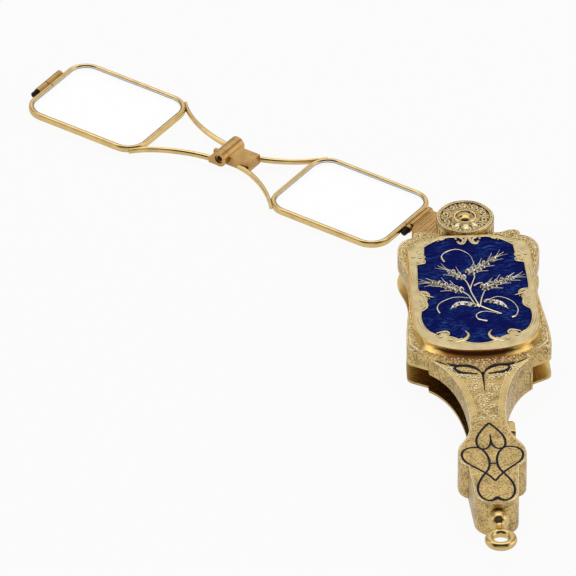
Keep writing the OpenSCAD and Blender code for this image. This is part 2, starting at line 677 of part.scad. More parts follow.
// A split wire rim round the lens: four straight sides and four round corners.
module rim(split_side) {
    straight_a = lens_a - lens_r;
    straight_b = lens_b - lens_r;
    difference() {
        for (turn = [0, 1]) rotate(180 * turn) {
            translate([straight_a, straight_b, 0]) rotate_extrude(angle = 90, $fn = 64)
                translate([lens_r, 0]) wire_2d();
            translate([-straight_a, straight_b, 0]) rotate(90) rotate_extrude(angle = 90, $fn = 64)
                translate([lens_r, 0]) wire_2d();
            translate([lens_a, straight_b, 0]) rotate([90, 0, 0])
                linear_extrude(2 * straight_b) wire_2d();
            translate([-straight_a, lens_b, 0]) rotate([90, 0, 90])
                linear_extrude(2 * straight_a) wire_2d();
        }
        translate([split_side > 0 ? lens_a - 1 : -lens_a - rim_w - 1, split_y, -rim_h])
            cube([rim_w + 2, split_w, 2 * rim_h]);
    }
}

module lens() {
    translate([0, 0, -groove_h / 2 + 0.02]) linear_extrude(groove_h - 0.04) lens_2d(0.3);
    translate([0, 0, -lens_t / 2]) linear_extrude(lens_t) lens_2d(-fit_gap);
}

module inner_rim() { color(gold) opened() translate([inner_d, 0, rim_mid]) rim(-1); }
module outer_rim() { color(gold) opened() translate([outer_d, 0, rim_mid]) rim(1); }
module inner_lens() {
    color([0.85, 0.92, 0.95, 0.35]) opened() translate([inner_d, 0, rim_mid]) lens();
}
module outer_lens() {
    color([0.85, 0.92, 0.95, 0.35]) opened() translate([outer_d, 0, rim_mid]) lens();
}

screw_r = 0.34;
thread_l = 2.3;
// Two tubes in line on the side of a rim, one on each side of its split.
module closing_barrels(d, rim_d, start, end) {
    difference() {
        union() {
            side_axis(d, start, rim_mid) cylinder(r = barrel_r, h = split_y - start, $fn = 32);
            side_axis(d, split_y + split_w, rim_mid)
                cylinder(r = barrel_r, h = end - split_y - split_w, $fn = 32);
        }
        translate([rim_d, 0, 0]) linear_extrude(case_h) lens_2d(rim_w);
        side_axis(d, split_y - thread_l - 0.2, rim_mid)
            cylinder(r = screw_r + 0.02, h = thread_l + end, $fn = 24);
    }
}

// A small screw with a ribbed head that draws the two tubes together.
module closing_screw(d, end) {
    head_r = barrel_r - barrel_seat - 0.03;
    head_l = 1.3;
    side_axis(d, split_y - thread_l, rim_mid)
        cylinder(r = screw_r, h = thread_l + end - split_y + 0.1, $fn = 24);
    difference() {
        side_axis(d, end + fit_gap, rim_mid) cylinder(r = head_r, h = head_l, $fn = 32);
        for (i = [0:9]) side_axis(d, end + 0.15, rim_mid) rotate(36 * i)
            translate([head_r + 0.05, 0, 0]) cylinder(r = 0.13, h = head_l, $fn = 16);
    }
}

module inner_closing_barrels() {
    color(red_gold) opened() closing_barrels(inner_barrel_d, inner_d, -7, 1.25);
}
module inner_closing_screw() {
    color([0.2, 0.15, 0.1]) opened() closing_screw(inner_barrel_d, 1.25);
}
module outer_closing_barrels() {
    color(red_gold) opened() closing_barrels(outer_barrel_d, outer_d, -4.6, 3.4);
}
module outer_closing_screw() {
    color([0.2, 0.15, 0.1]) opened() closing_screw(outer_barrel_d, 3.4);
}

// The oval section of a bridge arm, w wide.
function oval(w) = [for (a = [0:30:330]) [w * cos(a) / 2, arm_h * sin(a) / 2]];
// A bar with an oval section along the flat curve p, from width w0 to width w1.
module bar(p, w0, w1) {
    n = len(p);
    m = len(oval(1));
    polyhedron(
        points = [for (i = [0:n - 1]) for (q = oval(w0 + (w1 - w0) * i / (n - 1)))
            [p[i].x + across(p, i).x * q.x, p[i].y + across(p, i).y * q.x, q.y]],
        faces = concat([[for (k = [0:m - 1]) k]],
            [for (i = [0:n - 2], k = [0:m - 1]) [i * m + k, (i + 1) * m + k,
                (i + 1) * m + (k + 1) % m, i * m + (k + 1) % m]],
            [[for (k = [m - 1:-1:0]) (n - 1) * m + k]]));
}

// Two curved arms from the bridge hinge to the corners of a rim, at distance d on side s.
module bridge_arms(d, s, root, y) {
    corner = half_pd - lens_a - rim_w;
    difference() {
        for (m = [-1, 1]) translate([hinge_d, 0, rim_mid]) mirror([0, m > 0 ? 0 : 1, 0])
            mirror([s > 0 ? 0 : 1, 0, 0])
            bar(path([root, y], [root + 3, y + 0.2], [corner - 2.2, lens_b - 4.5],
                [corner + 1.8, lens_b + 0.4], 12), arm_w, arm_tip_w);
        translate([d, 0, 0]) linear_extrude(case_h) lens_2d(rim_w);
    }
}

module inner_bridge_arms() {
    color(gold) opened() difference() {
        bridge_arms(inner_d, -1, 4, knuckle_mid);
        translate([hinge_d - box_l, -knuckle_mid, 0]) cube([box_l, 2 * knuckle_mid, case_h]);
    }
}

module outer_bridge_arms() {
    color(gold) opened() difference() {
        bridge_arms(outer_d, 1, 2, (knuckle_mid + knuckle_end) / 2 + 0.1);
        translate([hinge_d, -ear_w, 0]) cube([ear_root, 2 * ear_w, case_h]);
    }
}

box_l = 6.3;
box_top = hinge_z + 0.55;
box_low = hinge_z - knuckle_r + 0.05;
ear_root = 2.4;
nib_x = 0.9;
nib_w = 0.8;
nib_out = 0.75;
// The middle knuckle has a box towards the inner lens and a nib that the catch holds.
module middle_knuckle() {
    color(red_gold) opened() difference() {
        union() {
            side_axis(hinge_d, -knuckle_mid, hinge_z) cylinder(r = knuckle_r, h = 2 * knuckle_mid, $fn = 48);
            translate([hinge_d - box_l, -knuckle_mid, box_low])
                cube([box_l, 2 * knuckle_mid, box_top - box_low]);
            translate([hinge_d, nib_x, hinge_z - 0.5]) cube([knuckle_r + nib_out, nib_w, 1]);
        }
        side_axis(hinge_d, -knuckle_end, hinge_z) cylinder(r = pin_r + run_gap, h = 2 * knuckle_end, $fn = 40);
        side_axis(hinge_d, -knuckle_mid + 0.4, hinge_z)
            cylinder(r = knuckle_r - 0.35, h = 2 * knuckle_mid - 0.8, $fn = 48);
    }
}

module end_knuckles() {
    color(red_gold) opened() for (side = [0, 1]) mirror([0, side, 0]) difference() {
        union() {
            side_axis(hinge_d, knuckle_mid + 0.05, hinge_z)
                cylinder(r = knuckle_r, h = knuckle_end - knuckle_mid - 0.05, $fn = 48);
            translate([hinge_d, knuckle_mid + 0.05, box_low])
                cube([ear_root, knuckle_end - knuckle_mid - 0.05, arm_z + arm_h - box_low]);
        }
        side_axis(hinge_d, 0, hinge_z) cylinder(r = pin_r + 0.01, h = knuckle_end + 1, $fn = 40);
        side_axis(hinge_d, knuckle_end - 0.35, hinge_z) cylinder(r = 0.95, h = 1, $fn = 32);
    }
}

module bridge_pin() {
    color(gold) opened() side_axis(hinge_d, -knuckle_end + 0.4, hinge_z)
        cylinder(r = pin_r, h = 2 * knuckle_end - 0.8, $fn = 40);
}

module coil(r, wire, length, turns) {
    linear_extrude(length, twist = -360 * turns, slices = 12 * turns)
        translate([r, 0]) circle(r = wire, $fn = 6);
}

// A small spring round the pin opens the bridge.
module bridge_spring() {
    color([0.45, 0.47, 0.52]) opened()
        side_axis(hinge_d, -knuckle_mid + 0.5, hinge_z) coil(0.97, 0.13, 2 * knuckle_mid - 1, 5);
}

catch_foot = [-2.5, -push_d + 3.4];
tail_x = 0.3;
catch_z = push_z - 0.55;
catch_bore = 0.4;
module catch_lever() {
    nose_tip = -hinge_d - knuckle_r - 0.35;
    color([0.55, 0.56, 0.6]) difference() {
        union() {
            translate([0, 0, catch_z]) linear_extrude(catch_t) {
                translate(catch_foot) circle(r = 0.85, $fn = 32);
                translate([tail_x, -push_d]) circle(r = 0.45, $fn = 24);
                polygon(stroke([catch_foot, [tail_x, -push_d]], 0.9, 0.8));
                polygon([catch_foot + [0, -0.6], catch_foot + [2.3, 0.3], [0.45, nose_tip - 1],
                    [0.45, nose_tip], [-0.3, nose_tip], [-0.4, nose_tip - 1], catch_foot + [0, 0.8]]);
            }
            translate([tail_x, -push_d, catch_z - 0.5]) cylinder(r = 0.3, h = 1, $fn = 24);
        }
        translate([catch_foot.x, catch_foot.y, 0])
            cylinder(r = catch_bore + run_gap, h = case_h, $fn = 32);
    }
}

module catch_pin() {
    color(red_gold) translate([catch_foot.x, catch_foot.y, back_t])
        cylinder(r = catch_bore, h = slot_h, $fn = 32);
}

// The push-piece has an oval head, a shank through the neck and a slotted foot.
module push_piece() {
    head_l = neck_at_push + push_out - push_inner;
    foot_x = -0.75;
    color(gold) difference() {
        union() {
            on_push_axis(push_inner) linear_extrude(head_l - 0.3) push_2d(0);
            on_push_axis(push_inner + head_l - 0.3) linear_extrude(0.3) push_2d(-0.25);
            on_push_axis(push_boss_x - 0.3) cylinder(r = push_shank_r, h = 3.2, $fn = 24);
            translate([push_boss_x - 0.3, -push_d - 0.6, push_z - 1.1]) cube([0.25, 1.2, 1.5]);
            translate([foot_x, -push_d - 1.4, push_z - 1.1])
                cube([push_boss_x - 0.05 - foot_x, 2.2, 0.42]);
        }
        on_push_axis(push_inner - overcut) difference() {
            cylinder(r = push_bore_r, h = 1.65 + overcut, $fn = 32);
            translate([0, 0, -1]) cylinder(r = push_shank_r, h = 4, $fn = 24);
        }
        translate([tail_x - 0.4, -push_d - 1, push_z - 2]) cube([0.8, 1.4, 1.5]);
    }
}

module push_spring() {
    color([0.45, 0.47, 0.52]) on_push_axis(pocket_floor + 0.12) coil(0.58, 0.1, 1.4, 4);
}

spigot_r = 0.6;
spigot_l = 2;
// A turned finial: a collar, a ball and a waisted neck, on a spigot in the end of the stem.
module finial() {
    start = stem_end_d + fit_gap;
    ball_d = start + 0.75 * ball_r;
    neck_len = ring_d - ring_r - ball_d;
    color(gold) translate([0, 0, finial_z]) rotate([90, 0, 0]) difference() {
        union() {
            translate([0, 0, stem_end_d - spigot_l + 0.1]) cylinder(r = spigot_r, h = spigot_l, $fn = 32);
            rotate_extrude($fn = 48) intersection() {
                union() {
                    translate([0, ball_d]) circle(r = ball_r, $fn = 48);
                    translate([0, start]) square([0.8 * ball_r, 0.35]);
                    polygon(concat([[0, ball_d]],
                        path([1.7, ball_d + 0.7 * ball_r], [0.7, ball_d + ball_r + 0.2],
                            [0.8, ball_d + ball_r + 0.3], [1.1, ball_d + neck_len], 6),
                        [[0, ball_d + neck_len]]));
                }
                translate([0, start]) square([2 * ball_r, 2 * neck_len]);
            }
        }
        translate([0, 0, ring_d]) rotate([90, 0, 0]) rotate_extrude($fn = 96)
            translate([ring_r, 0]) circle(r = wire_r + 0.01, $fn = 48);
    }
}

module chain_ring() {
    color(gold) translate([0, -ring_d, finial_z]) rotate_extrude($fn = 96) difference() {
        translate([ring_r, 0]) circle(r = wire_r, $fn = 48);
        translate([0, -wire_r]) square([ring_hole_r, 2 * wire_r]);
    }
}

back_plate();
liner_plate();
front_cover();
stem_spacer();
stem_block();
stem_cover();
tracery_inlay();
plaque_frame();
enamel_panel();
wheat_spray();
rose_stones();
drum_housing();
drum_cap();
pivot_screw();
pivot_post();
swing_spring();
spring_arbor();
lens_arm();
inner_rim();
inner_lens();
inner_closing_barrels();
inner_closing_screw();
inner_bridge_arms();
middle_knuckle();
bridge_spring();
outer_rim();
outer_lens();
outer_closing_barrels();
outer_closing_screw();
outer_bridge_arms();
end_knuckles();
bridge_pin();
push_piece();
push_spring();
catch_lever();
catch_pin();
finial();
chain_ring();
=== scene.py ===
"""A folding lorgnette: finishes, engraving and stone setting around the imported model.

Lengths in the helpers and in the ornament are millimetres. Pieces are made in metres.
"""
import math

import bmesh
import bpy
from bpy.props import FloatProperty, FloatVectorProperty, PointerProperty
from mathutils import Matrix, Vector
from mathutils.bvhtree import BVHTree
from mathutils.geometry import tessellate_polygon


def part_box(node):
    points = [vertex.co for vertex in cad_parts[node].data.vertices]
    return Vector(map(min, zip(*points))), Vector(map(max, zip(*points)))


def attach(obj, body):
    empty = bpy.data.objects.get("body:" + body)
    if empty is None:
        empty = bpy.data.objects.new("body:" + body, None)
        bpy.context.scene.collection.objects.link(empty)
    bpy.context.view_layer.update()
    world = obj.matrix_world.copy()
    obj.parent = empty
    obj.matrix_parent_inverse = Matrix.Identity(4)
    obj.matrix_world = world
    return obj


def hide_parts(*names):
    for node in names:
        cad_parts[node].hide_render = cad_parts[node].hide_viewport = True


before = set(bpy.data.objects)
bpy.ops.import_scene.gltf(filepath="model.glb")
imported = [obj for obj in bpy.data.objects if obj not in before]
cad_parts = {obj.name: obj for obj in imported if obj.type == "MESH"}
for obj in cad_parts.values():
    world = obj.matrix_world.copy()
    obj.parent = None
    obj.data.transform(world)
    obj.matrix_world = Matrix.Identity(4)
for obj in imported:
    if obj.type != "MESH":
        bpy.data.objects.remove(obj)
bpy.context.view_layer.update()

bl_info = {
    "name": "Folding lorgnette",
    "version": (1, 0, 0),
    "blender": (4, 5, 0),
    "location": "View3D > Sidebar > Lorgnette",
    "description": "Finishes and ornament of a gold and enamel folding lorgnette",
    "category": "Object",
}

MM = 0.001


def in_mm(shaded_corner):
    return [c / MM for c in shaded_corner]


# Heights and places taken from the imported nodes
CASE_TOP = in_mm(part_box("front_cover")[1])[2]
PLAQUE_TOP = in_mm(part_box("plaque_frame")[1])[2]
ENAMEL_TOP = in_mm(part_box("enamel_panel")[1])[2]
DRUM_RADIUS = in_mm(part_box("drum_housing")[1])[0]
DRUM_TOP = in_mm(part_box("drum_cap")[1])[2]
DOME_RADIUS = in_mm(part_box("pivot_screw")[1])[0]


# Sizes and colours
def colour_property(name, description, default):
    return FloatVectorProperty(name=name, description=description, subtype="COLOR", size=3,
                               default=default)


def length_property(name, description, millimetres):
    return FloatProperty(name=name, description=description, unit="LENGTH",
                         default=millimetres * MM)


def angle_property(name, description, degrees):
    return FloatProperty(name=name, description=description, subtype="ANGLE",
                         default=math.radians(degrees))


def power_property(name, description, watts):
    return FloatProperty(name=name, description=description, unit="POWER", default=watts)


class StageSettings(bpy.types.PropertyGroup):
    azimuth: angle_property("Azimuth", "Turn of the camera about the pivot axis", -3.75)
    elevation: angle_property("Elevation", "Height of the camera above the front", 35.1)
    roll: angle_property("Roll", "Turn of the camera about its own view", 0.35)
    distance: length_property("Distance", "From the camera to the middle of the picture", 5092.0)
    lens: FloatProperty(
        name="Lens", description="Focal length of the camera in millimetres", default=1600.0)
    look_right: length_property(
        "Right of pivot", "Middle of the picture beside the drum top", -35.2)
    look_up: length_property("Above pivot", "Middle of the picture above the drum top", -14.24)
    floor_colour: colour_property("Floor", "Colour of the floor", (0.92, 0.92, 0.92))
    softbox_power: power_property(
        "Softbox", "Power of the large softbox behind the lorgnette", 0.85)
    side_power: power_property("Side light", "Power of each side light", 0.5)


class GoldSettings(bpy.types.PropertyGroup):
    case_gold: colour_property("Case gold", "Colour of the engraved gold", (0.73, 0.53, 0.215))
    plaque_gold: colour_property(
        "Plaque gold", "Colour of the paler gold round the enamel", (0.75, 0.61, 0.33))
    # Painted highlight: the raised flowers, scrolls and grains get a paler, brighter gold than the
    # ground so that they look lit
    flower_gold: colour_property(
        "Flower gold", "Colour of the raised flowers and scrolls", (0.98, 0.84, 0.52))
    spray_gold: colour_property(
        "Spray gold", "Colour of the pale spray on the enamel", (0.95, 0.87, 0.66))
    # Painted shade: the gold inside the slot is darker and redder for the shade there
    slot_gold: colour_property(
        "Slot gold", "Colour of the gold inside the slot", (0.44, 0.19, 0.055))
    cove_gold: colour_property(
        "Cove gold", "Colour of the polished cove under the plaque", (0.88, 0.58, 0.18))
    # Painted shade: the matted ground under the cove is darker and browner for the shade there
    shaded_arch_gold: colour_property(
        "Arch gold", "Colour of the matted gold above the arch", (0.6, 0.36, 0.11))
    rim_gold: colour_property("Rim gold", "Colour of the lens rims", (0.83, 0.60, 0.26))
    # Painted shade: the hinges and the lug get a darker, browner gold for the shade on them
    hinge_gold: colour_property(
        "Hinge gold", "Colour of the hinges and the lug", (0.64, 0.39, 0.14))
    # Painted reflection: the dark red in the middle of the cove stands for the dark room it mirrors
    russet: colour_property("Russet", "Reddish tarnish in the cove", (0.42, 0.16, 0.045))
    # The dark colour of patina, and of the painted shade that the occlusion puts in corners
    patina: colour_property("Patina", "Colour that gathers in the hollows", (0.16, 0.085, 0.03))
    softened_edge: length_property("Softened edge", "Width of the worn edges", 0.07)


class EnamelSettings(bpy.types.PropertyGroup):
    deep_blue: colour_property(
        "Deep blue", "Enamel where it lies thick", (0.0026, 0.0055, 0.125))
    light_blue: colour_property(
        "Light blue", "Enamel over the cuts of the ground", (0.04, 0.13, 0.50))
    line_colour: colour_property(
        "Line colour", "Enamel of the inlaid lines", (0.004, 0.004, 0.014))


class ReliefSettings(bpy.types.PropertyGroup):
    bead: length_property("Edge bead", "Radius of the raised line beside the enamel", 0.13)
    cove: length_property("Cove", "Spread of the cove at its foot", 1.15)
    line: length_property("Inlaid line", "Width of the dark lines on the stem", 0.52)


class SpraySettings(bpy.types.PropertyGroup):
    stem: length_property("Stem", "Radius of the stems of the spray", 0.15)
    stone: length_property("Stone", "Radius of the largest stones", 0.5)


# Node helpers
def feed(tree, node, **values):
    """Sets a node's properties and inputs by name, with _ for a space; a socket is linked."""
    for key, value in values.items():
        name = key.replace("_", " ")
        if isinstance(value, bpy.types.NodeSocket):
            tree.links.new(value, node.inputs[name])
        elif hasattr(node, key):
            setattr(node, key, value)
        else:
            node.inputs[name].default_value = value
    return node


def add_node(tree, kind, **values):
    """A new node with its properties and inputs set."""
    return feed(tree, tree.nodes.new(kind), **values)


def compute(tree, operation, a, b, clamp=False):
    """A Math node; a and b are sockets or numbers."""
    node = add_node(tree, "ShaderNodeMath", operation=operation, use_clamp=clamp)
    for socket, value in zip(node.inputs, (a, b)):
        if isinstance(value, (int, float)):
            socket.default_value = value
        else:
            tree.links.new(value, socket)
    return node.outputs[0]


def blend_colours(tree, factor, a, b):
    """A colour mix; a and b are sockets or colours."""
    node = add_node(tree, "ShaderNodeMix", data_type="RGBA")
    tree.links.new(factor, node.inputs[0])
    for socket, value in zip((node.inputs[6], node.inputs[7]), (a, b)):
        if isinstance(value, bpy.types.NodeSocket):
            tree.links.new(value, socket)
        else:
            socket.default_value = (*value[:3], 1)
    return node.outputs[2]


def spread(tree, value, low, high, out_low=0.0, out_high=1.0):
    """Maps value from low..high to out_low..out_high, held at the ends."""
    node = tree.nodes.new("ShaderNodeMapRange")
    for socket, number in zip(node.inputs[1:5], (low, high, out_low, out_high)):
        socket.default_value = number
    tree.links.new(value, node.inputs[0])
    return node.outputs[0]


def noise(tree, place, scale, detail, roughness=0.5):
    node = add_node(tree, "ShaderNodeTexNoise", Vector=place, Scale=scale, Detail=detail,
                    Roughness=roughness)
    return node.outputs["Fac"]


def stretched(tree, place, scale, turn):
    """Coordinates turned about Z and scaled, for marks that are longer one way."""
    node = add_node(tree, "ShaderNodeMapping", Vector=place, Scale=scale, Rotation=(0, 0, turn))
    return node.outputs["Vector"]


def mix_surface(tree, factor, first, second):
    """Shows one of two shaders, by a factor."""
    mix = tree.nodes.new("ShaderNodeMixShader")
    for socket, source in zip(mix.inputs, (factor, first.outputs[0], second.outputs[0])):
        tree.links.new(source, socket)
    tree.links.new(mix.outputs[0], tree.nodes["Material Output"].inputs["Surface"])


def seen_directly(tree):
    """One for what the camera sees, also through the lenses."""
    path = tree.nodes.new("ShaderNodeLightPath").outputs
    return compute(tree, "MAXIMUM", path["Is Camera Ray"], path["Is Transmission Ray"])


# Shader groups
NUMBER, VECTOR, COLOUR = "NodeSocketFloat", "NodeSocketVector", "NodeSocketColor"


def group_tree(name, inputs, outputs):
    """An empty group; an input is given as its kind or as a number's default."""
    tree = bpy.data.node_groups.new(name, "ShaderNodeTree")
    for label, given in inputs.items():
        kind = given if isinstance(given, str) else NUMBER
        socket = tree.interface.new_socket(label, in_out="INPUT", socket_type=kind)
        if kind == NUMBER:
            socket.default_value = given
    for label, kind in outputs.items():
        tree.interface.new_socket(label, in_out="OUTPUT", socket_type=kind)
    return tree, tree.nodes.new("NodeGroupInput").outputs, tree.nodes.new("NodeGroupOutput")


def stipple_group():
    """Punched dots of a matted ground, as a height and a mask of the dot bottoms."""
    tree, given, result = group_tree(
        "stippled_ground", {"Place": VECTOR, "Pitch": 0.3}, {"Height": NUMBER, "Hollow": NUMBER})
    scale = compute(tree, "DIVIDE", 1 / MM, given["Pitch"])
    dots = add_node(tree, "ShaderNodeTexVoronoi", feature="F1", Vector=given["Place"], Scale=scale)
    grain = noise(tree, given["Place"], compute(tree, "MULTIPLY", scale, 1.7), 3.0)
    dot = spread(tree, dots.outputs["Distance"], 0.15, 0.55)
    height = compute(tree, "ADD", dot, compute(tree, "MULTIPLY", grain, 0.7))
    feed(tree, result, Height=height, Hollow=compute(tree, "SUBTRACT", 1.0, dot))
    return tree


def patina_and_shade_group():
    """Colour that darkens in hollows and in cloudy patches: patina, and painted shade in the
    corners.
    """
    tree, given, result = group_tree(
        "patina",
        {"Place": VECTOR, "Metal": COLOUR, "Dark": COLOUR, "Hollow": 0.0, "Strength": 0.5,
         "Reach": 0.4},
        {"Color": COLOUR, "Mask": NUMBER})
    # Painted shade: ambient occlusion darkens corners and crevices
    shade = add_node(tree, "ShaderNodeAmbientOcclusion", samples=6,
                     Distance=compute(tree, "MULTIPLY", given["Reach"], MM))
    shaded_corner = spread(tree, shade.outputs["AO"], 0.35, 0.85, 1.0, 0.0)
    patch = spread(tree, noise(tree, given["Place"], 420.0, 4.0), 0.4, 0.72, 0.0, 0.5)
    # The darkening adds the painted shade of corners, the patina patches and the given hollows
    worn = compute(tree, "ADD", shaded_corner, compute(tree, "ADD", patch, given["Hollow"]))
    mask = compute(tree, "MULTIPLY", worn, given["Strength"], clamp=True)
    feed(tree, result, Color=blend_colours(tree, mask, given["Metal"], given["Dark"]), Mask=mask)
    return tree


def polish_group():
    """Fine scratches and soft waves of hand-polished metal."""
    tree, given, result = group_tree(
        "hand_polish", {"Place": VECTOR, "Waves": 300.0}, {"Height": NUMBER, "Scratch": NUMBER})
    waves = noise(tree, given["Place"], given["Waves"], 1.0)
    along = stretched(tree, given["Place"], (900.0, 7000.0, 5000.0), 0.5)
    lines = noise(tree, along, 1.0, 4.0)
    height = compute(tree, "ADD", waves, compute(tree, "MULTIPLY", lines, 0.12))
    feed(tree, result, Height=height, Scratch=lines)
    return tree


def chasing_group():
    """Curling engraved lines, as a height and a mask of the cuts."""
    tree, given, result = group_tree(
        "chased_scrolls", {"Place": VECTOR, "Pitch": 0.8}, {"Height": NUMBER, "Cut": NUMBER})
    scale = compute(tree, "DIVIDE", math.pi / 10 / MM, given["Pitch"])
    wave = add_node(tree, "ShaderNodeTexWave", wave_type="RINGS", rings_direction="SPHERICAL",
                    Distortion=9.0, Detail=1.5, Detail_Scale=0.8, Vector=given["Place"],
                    Scale=scale)
    lines = wave.outputs["Fac"]
    feed(tree, result, Height=lines, Cut=spread(tree, lines, 0.02, 0.3, 1.0, 0.0))
    return tree


GROUPS = {}


def use_group(tree, name, **values):
    """Places a group with its inputs set, and gives its outputs."""
    node = tree.nodes.new("ShaderNodeGroup")
    node.node_tree = GROUPS[name]
    return feed(tree, node, **values).outputs


# Materials
def new_material(name):
    """A material with its shader and the object's own coordinates."""
    material = bpy.data.materials.new(name)
    material.use_nodes = True
    tree = material.node_tree
    shader = tree.nodes["Principled BSDF"]
    place = tree.nodes.new("ShaderNodeTexCoord").outputs["Object"]
    return material, tree, shader, place


def bump(tree, shader, height, depth):
    """Raises the surface by a height, in millimetres."""
    node = add_node(tree, "ShaderNodeBump", Distance=depth * MM, Height=height)
    feed(tree, shader, Normal=node.outputs["Normal"])


def darkening(tree, place, metal, **values):
    """Darkens a metal's colour towards the dark colour of the settings: patina, and painted shade
    in the corners.
    """
    dark = bpy.context.scene.lorgnette_gold.patina
    return use_group(tree, "patina", Place=place, Metal=(*metal, 1), Dark=(*dark, 1), **values)


def gold_material(name, metal, roughness, strength=0.5, reach=0.4, waves=300.0):
    """Polished gold with patina and painted shade in its hollows."""
    material, tree, shader, place = new_material(name)
    patina = darkening(tree, place, metal, Strength=strength, Reach=reach)
    polish = use_group(tree, "hand_polish", Place=place, Waves=waves)
    worn = compute(tree, "MULTIPLY", polish["Scratch"], 0.12)
    base = compute(tree, "ADD", worn, roughness - 0.05)
    dulled = compute(tree, "MULTIPLY", patina["Mask"], 0.25)
    feed(tree, shader, Base_Color=patina["Color"], Metallic=1.0,
         Roughness=compute(tree, "ADD", base, dulled))
    bump(tree, shader, polish["Height"], 0.02)
    return material


# The painted dark reflection of the cove, in metres: where its middle lies, where it is full and
# where it ends to either side, where it starts and is full towards the stem, and how ragged its
# edge is
COVE_MIDDLE, COVE_FULL, COVE_END = -0.0012, 0.0055, 0.0082
COVE_START_Y, COVE_FULL_Y = -0.0440, -0.0455
COVE_RAGGED = 0.0012


def cove_material(gold):
    """Polished gold with a painted dark red reflection along the middle of the side towards the
    stem.
    """
    material = gold_material("cove_gold", gold.cove_gold, 0.1, strength=0.15, reach=0.2)
    tree = material.node_tree
    shader = tree.nodes["Principled BSDF"]
    place = tree.nodes.new("ShaderNodeTexCoord").outputs["Object"]
    split = add_node(tree, "ShaderNodeSeparateXYZ", Vector=place).outputs
    ragged = spread(tree, noise(tree, place, 700.0, 3.0), 0.3, 0.7, -COVE_RAGGED, COVE_RAGGED)
    aside = compute(tree, "ABSOLUTE", compute(tree, "SUBTRACT", split["X"], COVE_MIDDLE), 0.0)
    middle = spread(tree, compute(tree, "ADD", aside, ragged), COVE_FULL, COVE_END, 1.0, 0.0)
    lower = spread(tree, split["Y"], COVE_START_Y, COVE_FULL_Y)
    mask = compute(tree, "MULTIPLY", middle, lower)
    plain = shader.inputs["Base Color"].links[0].from_socket
    # Painted reflection: the dark red is blended in along the cove's middle
    feed(tree, shader, Base_Color=blend_colours(tree, mask, plain, gold.russet))
    return material


def engraved_material(name, metal, pitch, chasing=0.0, curl=0.8, roughness=0.26, depth=0.07):
    """Gold with a stippled ground; chasing is the share of curling engraved lines in it."""
    material, tree, shader, place = new_material(name)
    stipple = use_group(tree, "stippled_ground", Place=place, Pitch=pitch)
    scrolls = use_group(tree, "chased_scrolls", Place=place, Pitch=curl)
    # Patina and painted shade: the bottoms of the dots and the chased cuts are darkened
    cuts = compute(tree, "MULTIPLY", scrolls["Cut"], chasing)
    dots = compute(tree, "MULTIPLY", stipple["Hollow"], 0.9)
    patina = darkening(tree, place, metal, Hollow=compute(tree, "MAXIMUM", cuts, dots),
                     Strength=0.8, Reach=0.7)
    dulled = compute(tree, "MULTIPLY", patina["Mask"], 0.2)
    feed(tree, shader, Base_Color=patina["Color"], Metallic=1.0,
         Roughness=compute(tree, "ADD", dulled, roughness))
    raised = compute(tree, "MULTIPLY", scrolls["Height"], 1.6 * chasing)
    bump(tree, shader, compute(tree, "ADD", stipple["Height"], raised), depth)
    return material


# The two directions of the cuts under the enamel: marks to the metre along and across, and turn
ENAMEL_CUTS = ((520.0, 1700.0, 0.85), (560.0, 1900.0, -0.6))


def blue_enamel_material():
    """Translucent blue over a hand-cut ground that shows as lighter strokes."""
    settings = bpy.context.scene.lorgnette_enamel
    material, tree, shader, place = new_material("blue_enamel")
    drift = add_node(tree, "ShaderNodeTexNoise", Vector=place, Scale=160.0, Detail=2.0)
    bend = add_node(tree, "ShaderNodeVectorMath", operation="SCALE", Scale=0.006,
                    Vector=drift.outputs["Color"])
    moved = add_node(tree, "ShaderNodeVectorMath", operation="ADD", Vector=place)
    tree.links.new(bend.outputs["Vector"], moved.inputs[1])
    cuts = []
    for lengthwise, across, turn in ENAMEL_CUTS:
        along = stretched(tree, moved.outputs["Vector"], (lengthwise, across, 1.0), turn)
        cuts.append(noise(tree, along, 1.0, 5.0, 0.7))
    either = compute(tree, "MAXIMUM", *cuts)
    patches = spread(tree, noise(tree, place, 230.0, 3.0), 0.42, 0.6, 0.1, 1.0)
    light = compute(tree, "MULTIPLY", spread(tree, either, 0.52, 0.68), patches)
    colour = blend_colours(tree, light, settings.deep_blue, settings.light_blue)
    feed(tree, shader, Base_Color=colour, Roughness=0.35, Specular_IOR_Level=0.0,
         Coat_Weight=0.25, Coat_IOR=1.15, Coat_Roughness=0.05)
    bump(tree, shader, either, 0.03)
    return material


def line_enamel_material():
    """Near-black enamel, polished level with the gold."""
    settings = bpy.context.scene.lorgnette_enamel
    material, tree, shader, place = new_material("line_enamel")
    specks = noise(tree, place, 2600.0, 3.0)
    lighter = [min(1.0, 4 * c + 0.01) for c in settings.line_colour]
    mask = spread(tree, specks, 0.5, 0.8)
    feed(tree, shader, Base_Color=blend_colours(tree, mask, settings.line_colour, lighter),
         Roughness=spread(tree, specks, 0.3, 0.7, 0.15, 0.35), Specular_IOR_Level=0.1)
    return material


STONE_SHADE, STONE_LIGHT = (0.42, 0.37, 0.30), (0.98, 0.95, 0.88)


def stone_material():
    """Rose-cut stones over foil."""
    material, tree, shader, place = new_material("rose_cut_stone")
    mask = spread(tree, noise(tree, place, 1800.0, 2.0), 0.42, 0.62)
    feed(tree, shader, Base_Color=blend_colours(tree, mask, STONE_SHADE, STONE_LIGHT),
         Metallic=0.9, Roughness=0.08, IOR=2.4)
    return material


def glass_material():
    """Clear lens glass that lets light through to the floor."""
    material, tree, shader, place = new_material("lens_glass")
    smear = spread(tree, noise(tree, place, 90.0, 2.0), 0.4, 0.8, 0.0, 0.03)
    feed(tree, shader, Base_Color=(0.985, 0.99, 0.99, 1), Transmission_Weight=1.0, IOR=1.5,
         Roughness=smear)
    path = tree.nodes.new("ShaderNodeLightPath")
    clear = tree.nodes.new("ShaderNodeBsdfTransparent")
    mix_surface(tree, path.outputs["Is Shadow Ray"], shader, clear)
    return material


